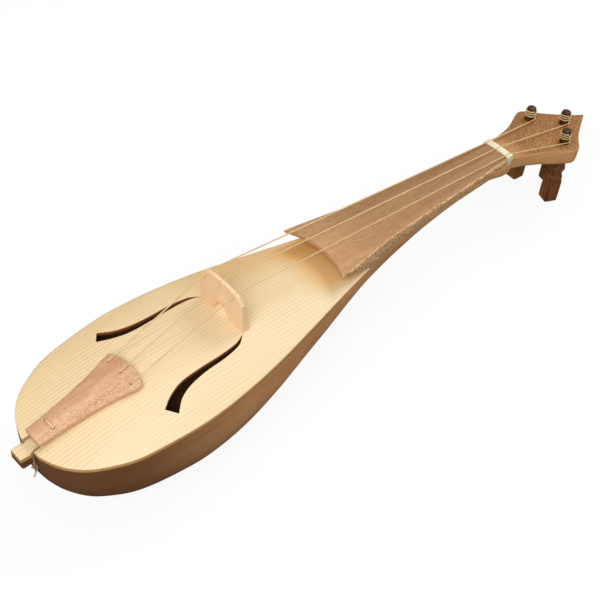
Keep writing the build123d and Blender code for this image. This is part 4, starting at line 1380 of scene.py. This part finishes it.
def knot_skin(centre: Array, size: float, radius: float) -> Skin:
    """An overhand knot pulled tight: the trefoil (sin t + 2 sin 2t, cos t - 2 cos 2t, -sin 3t).

    Args:
        centre: Its middle.
        size: Factor on the trefoil, which is 3 across from its middle.
        radius: Radius of the gut in it.

    Returns:
        The skin of the knotted tube.
    """
    t = np.linspace(0.15, 2 * math.pi - 0.15, 90)
    x, y, z = np.sin(t) + 2 * np.sin(2 * t), np.cos(t) - 2 * np.cos(2 * t), -1.3 * np.sin(3 * t)
    return tube_skin(centre + size * np.stack([x, y, z], -1), radius, 10)


@dataclass
class Nut:
    """The bone nut, with a notch for each string."""

    strings: Strings
    bowl: Bowl
    front: float = 523.6
    back: float = 530.4
    half: float = 15.3
    height: float = 8.2
    crown: float = 0.7

    def top(self, x: Array, y: Array) -> Array:
        """A low crown with rounded front and back edges, cut by three notches.

        Each notch follows its string's line, with a round foot and sides that open outwards.

        Args:
            x: Along the instrument.
            y: Across it.

        Returns:
            Heights.
        """
        z = self.height + self.crown * (1 - (y / self.half) ** 2)
        near = np.minimum(x - self.front, self.back - x)
        z = z - 1.1 * (1 - np.sqrt(np.clip(1 - (1 - np.clip(near, 0, 1.1) / 1.1) ** 2, 0, 1)))
        for side in Side:
            corners = self.strings.corners(side)
            p = np.where((x < corners[3][0])[..., None], corners[2], corners[4])
            share = (x - corners[3][0]) / (p[..., 0] - corners[3][0])
            line_y = corners[3][1] + (p[..., 1] - corners[3][1]) * share
            line_z = corners[3][2] + (p[..., 2] - corners[3][2]) * share
            off = np.abs(y - line_y)
            r = STRING_RADII[side.index] + 0.08
            foot = line_z - np.sqrt(np.clip(r**2 - off**2, 0.0, None)) + np.clip(off - r, 0, None) * 2.2
            z = np.minimum(z, foot)
        return z

    def build(self, finish: bpy.types.Material) -> bpy.types.Object:
        """Make the nut.

        Args:
            finish: The bone.

        Returns:
            The piece.
        """
        def bottom(x: Array, y: Array) -> Array:
            """The neck's flat."""
            return self.bowl.neck_top + 0 * x

        def half(x: Array, share: Array) -> Array:
            """A slight flare upwards."""
            return self.half - 0.4 * (1 - share) + 0 * x

        slab = Slab(half, self.top, bottom, lambda y: self.front + 0 * y, self.back, 0.6, 240)
        rows = np.concatenate([0.16 * np.linspace(0, 1, 7) ** 2, np.linspace(0.2, 0.8, 9),
                               1 - 0.16 * np.linspace(1, 0, 7) ** 2])
        piece = make_piece("bone_nut", slab.skin(rows), finish, 50.0)
        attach(piece, "instrument")
        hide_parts("nut")
        return piece


@dataclass
class Saddle:
    """The small spruce saddle on the tail stub, notched at its sides for the tail gut."""

    top: float = -5.4
    bottom: float = -9.4
    near: list[tuple[float, float]] = field(default_factory=lambda: [
        (0.0, -6.6), (9.5, -7.13), (9.5, -5.85), (11.7, -5.85), (11.7, -9.4), (17.5, -8.2)])

    def build(self, finish: bpy.types.Material) -> bpy.types.Object:
        """Cut the block and ease its edges.

        Args:
            finish: The spruce.

        Returns:
            The piece.
        """
        loop = np.array(self.near + [(x, -y) for x, y in self.near[::-1]])

        def face(x: Array, y: Array) -> Array:
            """The top, worn a little round where the gut crosses it."""
            lane = np.exp(-(((x - 10.6) / 1.5) ** 2))
            return self.top - 0.25 * lane * ease(2.0, 6.0, np.abs(y))

        plate = Plate(subdivided(loop, 0.8), [], 0.8, 0.45, face, lambda x, y: self.bottom + 0 * x, 0.05)
        piece = make_piece("spruce_saddle", plate.skin().outward(), finish, 40.0)
        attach(piece, "instrument")
        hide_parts("saddle")
        return piece


@dataclass
class Bridge:
    """The two-legged bridge: it stands on the soundboard and thins towards its top."""

    board: Soundboard
    strings: Strings
    front: float = 196.5
    foot_thick: float = 7.0
    top_thick: float = 3.0
    side: list[tuple[float, float]] = field(default_factory=lambda: [
        (26.3, 12.0), (25.7, 39.6), (24.2, 41.2), (20.4, 46.4)])
    crest: float = 49.6
    arch: list[tuple[float, float]] = field(default_factory=lambda: [
        (8.85, 14.0), (8.0, 17.0), (4.6, 21.4), (0.0, 22.6)])

    def outline(self) -> Array:
        """Outline across and up: crest with string notches, shoulders, sides, feet and arch.

        Returns:
            The closed loop.
        """
        mid = self.front + 2.3
        y_end, z_end = self.side[-1]
        rise = self.crest - z_end
        radius = (y_end**2 + rise**2) / (2 * rise)
        y = np.unique(np.concatenate([np.linspace(-y_end, y_end, 60),
                                      *[s.sign * 17.0 + np.linspace(-1.1, 1.1, 19) for s in Side]]))
        z = self.crest - radius + np.sqrt(radius**2 - y**2)
        for s in Side:
            centre = self.strings.bridge_z - self.strings.bridge_drop * abs(s.sign)
            off = np.abs(y - s.sign * self.strings.bridge_gap)
            r = STRING_RADII[s.index] + 0.06
            foot = centre - np.sqrt(np.clip(r**2 - off**2, 0, None)) + np.clip(off - r, 0, None) * 4.0
            z = np.minimum(z, foot)
        crest = np.column_stack([y, z])
        right = np.array(self.side[::-1])[1:]
        foot_y = np.linspace(26.4, 8.9, 22)
        foot = np.column_stack([foot_y, self.board.top(np.full(22, mid), foot_y) + 0.02])
        arch = curve_through(self.arch + [(-a, b) for a, b in self.arch[-2::-1]], 44)
        left = foot[::-1] * [-1, 1]
        loop = np.concatenate([crest, right[:-1], foot, arch, left, (right[:-1] * [-1, 1])[::-1]])
        return subdivided(loop, 1.2)

    def build(self, finish: bpy.types.Material) -> bpy.types.Object:
        """Cut the bridge and ease its edges.

        Args:
            finish: The bridge wood.

        Returns:
            The piece.
        """
        def back(y: Array, z: Array) -> Array:
            """The back face, slanting forward above the arch's spring."""
            lean = np.clip((z - 14.0) / 36.0, 0.0, 1.0) * (self.foot_thick - self.top_thick)
            return self.front + self.foot_thick - lean

        plate = Plate(self.outline(), [], 1.3, 0.4, back, lambda y, z: self.front + 0 * y, 0.4)
        skin = plate.skin()
        skin.points = skin.points[:, [2, 0, 1]]
        piece = make_piece("bridge_two_legs", skin.outward(), finish, 35.0)
        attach(piece, "instrument")
        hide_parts("bridge")
        return piece


@dataclass
class Tailpiece:
    """The flared tailpiece, hung from the tail gut, with a hole for each string."""

    start: tuple[float, float] = (15.7, 3.4)
    rise_deg: float = 8.3
    thick: float = 4.5
    flare: list[tuple[float, float]] = field(default_factory=lambda: [
        (0.0, 9.5), (18.0, 10.4), (35.0, 12.0), (50.0, 13.9), (65.0, 16.4), (77.0, 19.3), (87.0, 21.2)])
    front: float = 92.0
    string_u: float = 82.0
    string_v: float = 14.5
    string_hole: float = 1.0
    recess: float = 2.3
    roof: float = 1.4
    gut_u: float = 16.0
    gut_v: float = 5.3
    gut_hole: float = 1.5

    def point(self, u: Array, v: Array, w: Array) -> Array:
        """Points from the tailpiece's own plane: u along, v across, w over its face."""
        a = math.radians(self.rise_deg)
        u, v, w = np.broadcast_arrays(np.asarray(u, float), np.asarray(v, float), np.asarray(w, float))
        x = self.start[0] + u * math.cos(a) - w * math.sin(a)
        return np.stack([x, v, self.start[1] + u * math.sin(a) + w * math.cos(a)], -1)

    def build(self, finish: bpy.types.Material) -> bpy.types.Object:
        """Cut the plate and its holes, which widen below for the knots, and ease the edges.

        Args:
            finish: The tailpiece wood.

        Returns:
            The piece.
        """
        side = curve_through(self.flare, 70)
        rise = self.front - side[-1, 0]
        radius = (side[-1, 1] ** 2 + rise**2) / (2 * rise)
        v = np.linspace(side[-1, 1], -side[-1, 1], 44)[1:-1]
        front = np.column_stack([self.front - radius + np.sqrt(radius**2 - v**2), v])
        back = np.linspace(side[0] * [1, -1], side[0], 20)[1:-1]
        loop = np.concatenate([side, front, side[::-1] * [1, -1], back])
        a = np.linspace(0.0, 2 * math.pi, 24, endpoint=False)
        circle = np.stack([np.cos(a), np.sin(a)], -1)
        string_seats = [(self.string_u, s.sign * self.string_v) for s in Side]
        gut_seats = [(self.gut_u, sign * self.gut_v) for sign in (1, -1)]
        holes = [np.array(seat) + self.string_hole * circle for seat in string_seats]
        holes += [np.array(seat) + self.gut_hole * 0.9 * circle for seat in gut_seats]
        below = [np.array(seat) + self.recess * circle for seat in string_seats] + holes[3:]
        plate = Plate(loop, holes, 1.5, 0.3, lambda u, w: 0 * u, lambda u, w: -self.thick + 0 * u, 0.25,
                      lower_holes=below)
        skin = plate.skin()
        edge = np.minimum(np.abs(skin.points[:, 1]) - np.interp(skin.points[:, 0], side[:, 0], side[:, 1]), 0.0)
        soft = 0.5 * (1 - ease(0.0, 2.2, -edge)) * (skin.points[:, 2] > -1.0)
        skin.points = self.point(skin.points[:, 0], skin.points[:, 1], skin.points[:, 2] - soft)
        piece = make_piece("flared_tailpiece", skin.outward(), finish, 35.0)
        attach(piece, "instrument")
        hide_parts("tailpiece")
        return piece


@dataclass
class TailGut:
    """The loop of thick gut: knotted under the stub, over the saddle, stitched in the tailpiece."""

    tailpiece: Tailpiece
    bowl: Bowl
    saddle: Saddle
    radius: float = 0.8
    bend: float = 1.3
    knot_size: float = 0.80

    def build(self, finish: bpy.types.Material) -> bpy.types.Object:
        """Carry a tube along the loop and add the knot and its loose end.

        Args:
            finish: The gut.

        Returns:
            The piece.
        """
        at, _, deep = self.bowl.groove
        t = self.tailpiece
        out = self.bowl.stub_half - deep + self.radius + 0.1
        under = self.bowl.stub_bottom + deep - self.radius - 0.1
        over = self.saddle.top + self.radius + 0.1
        knot_y, knot_z = -(self.bowl.stub_half + 2.4), self.bowl.stub_bottom - 2.2
        foot, head = -t.thick - self.radius, self.radius + 0.1
        corners = [
            (at - 1.0, knot_y, knot_z), (at, -out, under + 2.2), (at, -out, over),
            t.point(t.gut_u, -t.gut_v, foot), t.point(t.gut_u, -t.gut_v, head),
            t.point(t.gut_u, t.gut_v, head), t.point(t.gut_u, t.gut_v, foot),
            (at, out, over), (at, out, under), (at, -out + 2.6, under), (at - 1.0, knot_y, knot_z),
        ]
        bends = [self.bend] * (len(corners) - 2)
        path = rounded_route(corners, bends, 0.2)
        loose = curve_through([(at - 1.0, knot_y, knot_z), (at - 2.0, knot_y - 1.4, knot_z - 3.0),
                               (at - 3.1, knot_y - 1.9, knot_z - 5.2),
                               (at - 4.5, knot_y - 2.2, knot_z - 7.0)], 24)
        skin = tube_skin(path, self.radius, 16)
        skin = skin.with_more(knot_skin(np.array([at - 1.0, knot_y, knot_z]), self.knot_size, 0.8))
        skin = skin.with_more(tube_skin(loose, self.radius * 0.95, 14, 0.5))
        piece = make_piece("tail_gut_loop", skin, finish, 60.0)
        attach(piece, "instrument")
        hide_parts("tail_gut")
        return piece


@dataclass
class Pegs:
    """The three rear pegs: a turned shaft and beads over a square handle, wound with gut."""

    bowl: Bowl
    strings: Strings
    tip_radius: float = 4.4
    tip_length: float = 14.2
    shaft_top: float = 4.44
    shaft_foot: float = 5.4
    shoulder_gap: float = 0.9
    collar: float = 7.6
    collar_length: float = 23.0
    bead: float = 8.4
    handle_side: float = 13.5
    handle_length: float = 25.0
    handle_turn_deg: tuple[float, float, float] = (-2.0, -12.0, -21.0)
    turns: float = 3.0
    pitch: float = 2.5
    start: float = 4.3

    def profile(self) -> tuple[Array, Array, Array]:
        """Stations of the peg from its tip to its end.

        Returns:
            Height over the head's face, radius or half side, and squareness (0 round, 1 square).
        """
        def bead(z0: float, z1: float, r0: float, r1: float) -> Array:
            """A bead between two heights: a half sine added to a straight change of radius."""
            t = np.linspace(0.0, 1.0, 17)
            return np.column_stack([z0 + (z1 - z0) * t,
                                    r0 + (r1 - r0) * t + (self.bead - self.collar) * np.sin(math.pi * t) ** 0.8])

        foot = -self.bowl.head_thickness - self.shoulder_gap
        end = foot - self.collar_length
        a = np.linspace(0.0, math.pi / 2, 9)
        tip = np.column_stack([self.tip_length - 1.5 * (1 - np.cos(a)) ** 1.0,
                               self.tip_radius - 1.6 + 1.6 * np.sin(a)])
        tip = np.concatenate([[[self.tip_length + 0.25, 0.02], [self.tip_length + 0.2, 1.4]], tip])
        rows = np.concatenate([
            tip, [(11.0, self.tip_radius), (6.0, self.tip_radius), (0.6, self.tip_radius),
                  (0.0, self.shaft_top), (foot / 2, (self.shaft_top + self.shaft_foot) / 2),
                  (foot + 0.02, self.shaft_foot), (foot, self.shaft_foot + 0.1), (foot - 0.01, self.collar - 0.35),
                  (foot - 0.12, self.collar - 0.08), (foot - 0.4, self.collar), (foot - 6.7, self.collar)],
            bead(foot - 6.9, foot - 11.1, self.collar, self.collar),
            [(foot - 11.3, self.collar - 0.3), (foot - 14.0, self.collar - 0.7), (foot - 17.4, self.collar - 0.5)],
            bead(foot - 17.6, end + 0.15, self.collar - 0.4, self.collar - 0.1),
        ])
        side = self.handle_side / 2
        down = np.linspace(0.0, 1.0, 16)
        grip = np.column_stack([end - 0.3 - (self.handle_length - 1.9) * down, side + 0.12 * np.sin(math.pi * down)])
        base = end - self.handle_length
        close = np.column_stack([base + 1.4 * (1 - np.sin(a)), side - 1.4 * (1 - np.cos(a))])
        square = np.concatenate([[(end - 0.02, side - 0.7), (end - 0.08, side - 0.2)], grip, close,
                                 [(base - 0.05, side * 0.5), (base - 0.05, 0.02)]])
        both = np.concatenate([rows, square])
        squareness = np.concatenate([np.zeros(len(rows)), np.ones(len(square))])
        return both[:, 0], both[:, 1], squareness

    def peg(self, side: Side, finish: bpy.types.Material) -> bpy.types.Object:
        """One peg: rings whose radius is half side / (|cos|^n + |sin|^n)^(1/n), n 2 or 9.

        Args:
            side: Which course.
            finish: The peg wood.

        Returns:
            The piece.
        """
        height, radius, square = self.profile()
        a = np.linspace(0.0, 2 * math.pi, 96, endpoint=False)[None, :]
        n = 2.0 + 9.0 * square[:, None]
        reach = radius[:, None] / (np.abs(np.cos(a)) ** n + np.abs(np.sin(a)) ** n) ** (1 / n)
        a = a + math.radians(self.handle_turn_deg[side.index])
        rings = self.bowl.on_peg(side, reach * np.cos(a), reach * np.sin(a), height[:, None])
        piece = make_piece(f"turned_peg_{side.word}", loft_skin(rings), finish, 38.0)
        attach(piece, f"peg_{side.word}")
        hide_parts(f"peg_{side.word}")
        return piece

    def winding(self, side: Side, finish: bpy.types.Material) -> bpy.types.Object:
        """The string's turns on the peg: a helix that climbs from where the string arrives.

        The height is pitch times turns plus an easing from the arrival to the first turn, and
        the last fortieth of the way dives into the peg.

        Args:
            side: Which course.
            finish: The gut.

        Returns:
            The piece.
        """
        wire = STRING_RADII[side.index]
        t = np.linspace(0.0, self.turns, 260)
        angle = -math.pi / 2 + 2 * math.pi * t
        lift = self.start - self.strings.arrival
        height = self.strings.arrival + lift * ease(0.0, 0.6, t) + self.pitch * t * 0.985
        reach = self.tip_radius + 0.05 + wire + (0.25 * (1 - ease(0.0, 0.25, t)))
        reach = reach - 2.2 * ease(self.turns - 0.10, self.turns, t) ** 1.5
        path = self.bowl.on_peg(side, reach * np.cos(angle), reach * np.sin(angle), height)
        piece = make_piece(f"gut_winding_{side.word}", tube_skin(path, wire, 14), finish, 60.0)
        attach(piece, f"peg_{side.word}")
        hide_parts(f"winding_{side.word}")
        return piece


@dataclass
class InnerParts:
    """The bass bar and sound post, which stay as they are and only get their finish."""

    names: tuple[str, ...] = ("bass_bar", "sound_post")

    def dress(self, finish: bpy.types.Material) -> None:
        """Give both the spruce finish."""
        for name in self.names:
            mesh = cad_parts[name].data
            mesh.materials.clear()
            mesh.materials.append(finish)
            log.info("%s: dressed", name)


@dataclass
class Studio:
    """A plain pale floor that runs into white, soft lights, and the viewing camera."""

    camera_at: tuple[float, float, float] = (-0.58008, -0.55439, 0.85210)
    heading_deg: float = 46.014
    down_deg: float = 46.272
    roll_deg: float = 3.262
    lens: float = 78.0
    floor_half: float = 6.0
    world_level: float = 0.42
    floor_gap: float = 0.00015
    floor_bounce: float = 0.30
    floor_white: float = 0.90

    def camera(self) -> None:
        """Place the camera: its direction by heading and fall, then a small roll."""
        heading, down, roll = (math.radians(q) for q in (self.heading_deg, self.down_deg, self.roll_deg))
        look = Vector((math.cos(down) * math.cos(heading), math.cos(down) * math.sin(heading), -math.sin(down)))
        level = look.cross(Vector((0, 0, 1))).normalized()
        up = level.cross(look)
        right = level * math.cos(roll) + up * math.sin(roll)
        data = bpy.data.cameras.new("viewer")
        data.lens = self.lens
        data.sensor_width = 36.0
        data.sensor_fit = "HORIZONTAL"
        data.clip_start = 0.05
        data.clip_end = 60.0
        camera = bpy.data.objects.new("viewer", data)
        turn = Matrix((right, (-look).cross(right), -look)).transposed()
        camera.matrix_world = Matrix.Translation(self.camera_at) @ turn.to_4x4()
        bpy.context.scene.collection.objects.link(camera)
        bpy.context.scene.camera = camera

    def floor(self) -> None:
        """A large pale floor that looks white to the camera where no shadow falls on it."""
        n = Nodes("studio_floor")
        n.shader.inputs["Base Color"].default_value = (self.floor_bounce,) * 3 + (1.0,)
        n.shader.inputs["Roughness"].default_value = 0.9
        n.shader.inputs["Specular IOR Level"].default_value = 0.0
        lit = n.add("BsdfDiffuse", {"Color": (1.0, 1.0, 1.0, 1.0)})
        white = n.add("Emission", {"Color": (1.0, 1.0, 1.0, 1.0), "Strength": 1.0})
        seen = n.add("MixShader", {0: self.floor_white, 1: lit.outputs[0], 2: white.outputs[0]})
        path = n.add("LightPath")
        either = n.sum("MAXIMUM", path.outputs["Is Camera Ray"], path.outputs["Is Transmission Ray"])
        mixed = n.add("MixShader", {0: either, 1: n.shader.outputs[0], 2: seen.outputs[0]})
        n.tree.links.new(mixed.outputs[0], n.tree.nodes["Material Output"].inputs["Surface"])
        mesh = bpy.data.meshes.new("studio_floor")
        h = self.floor_half
        z = -self.floor_gap
        mesh.from_pydata([(-h, -h, z), (h, -h, z), (h, h, z), (-h, h, z)], [], [(0, 1, 2, 3)])
        mesh.materials.append(n.material)
        floor = bpy.data.objects.new("studio_floor", mesh)
        bpy.context.scene.collection.objects.link(floor)

    def lamp(self, name: str, at: Sequence[float], size: float, power: float, warmth: float = 1.0) -> None:
        """A square soft lamp aimed at the middle of the instrument.

        Args:
            name: Its name.
            at: Its place in metres.
            size: Its side in metres.
            power: Its power in watts.
            warmth: Share of blue that is kept.
        """
        data = bpy.data.lights.new(name, "AREA")
        data.shape = "SQUARE"
        data.size = size
        data.energy = power
        data.color = (1.0, 0.5 + 0.5 * warmth, warmth)
        lamp = bpy.data.objects.new(name, data)
        lamp.location = at
        aim = Vector((0.0, 0.0, 0.05)) - Vector(at)
        lamp.rotation_euler = aim.to_track_quat("-Z", "Y").to_euler()
        bpy.context.scene.collection.objects.link(lamp)

    def world(self) -> None:
        """A plain pale surround, white where the camera or a gloss sees it."""
        world = bpy.data.worlds.new("surround")
        world.use_nodes = True
        tree = world.node_tree
        ground = tree.nodes["Background"]
        ground.inputs["Color"].default_value = (1.0, 1.0, 1.0, 1.0)
        path = tree.nodes.new("ShaderNodeLightPath")
        seen = tree.nodes.new("ShaderNodeMath")
        seen.operation = "MAXIMUM"
        tree.links.new(path.outputs["Is Camera Ray"], seen.inputs[0])
        tree.links.new(path.outputs["Is Transmission Ray"], seen.inputs[1])
        level = tree.nodes.new("ShaderNodeMapRange")
        level.inputs["To Min"].default_value = self.world_level
        level.inputs["To Max"].default_value = 1.0
        tree.links.new(seen.outputs[0], level.inputs["Value"])
        tree.links.new(level.outputs[0], ground.inputs["Strength"])
        bpy.context.scene.world = world

    def build(self) -> None:
        """Set the stage and the plain colour view."""
        self.floor()
        self.world()
        self.lamp("key", (-1.7, -1.0, 2.0), 1.5, 46.5)
        self.lamp("head_side", (1.8, 0.2, 2.1), 1.2, 25.0)
        self.camera()
        bpy.context.scene.view_settings.view_transform = "Standard"


def main() -> None:
    """Build the instrument piece by piece, then the studio."""
    logging.basicConfig(level=logging.INFO, format="%(name)s: %(message)s")
    finishes = Finishes.made()
    bowl = Bowl()
    board = Soundboard(bowl)
    tailpiece = Tailpiece()
    saddle = Saddle()
    strings = Strings(tailpiece, bowl)
    pegs = Pegs(bowl, strings)
    bowl.build(finishes.body)
    board.build(finishes.spruce)
    saddle.build(finishes.spruce)
    Fingerboard(bowl).build(finishes.fingerboard)
    Nut(strings, bowl).build(finishes.bone)
    Bridge(board, strings).build(finishes.bridge)
    tailpiece.build(finishes.tailpiece)
    TailGut(tailpiece, bowl, saddle).build(finishes.gut)
    strings.build(finishes.gut)
    for side in Side:
        pegs.peg(side, finishes.peg)
        pegs.winding(side, finishes.gut)
    InnerParts().dress(finishes.spruce)
    Studio().build()
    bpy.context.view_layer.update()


if __name__ == "__main__":
    main()
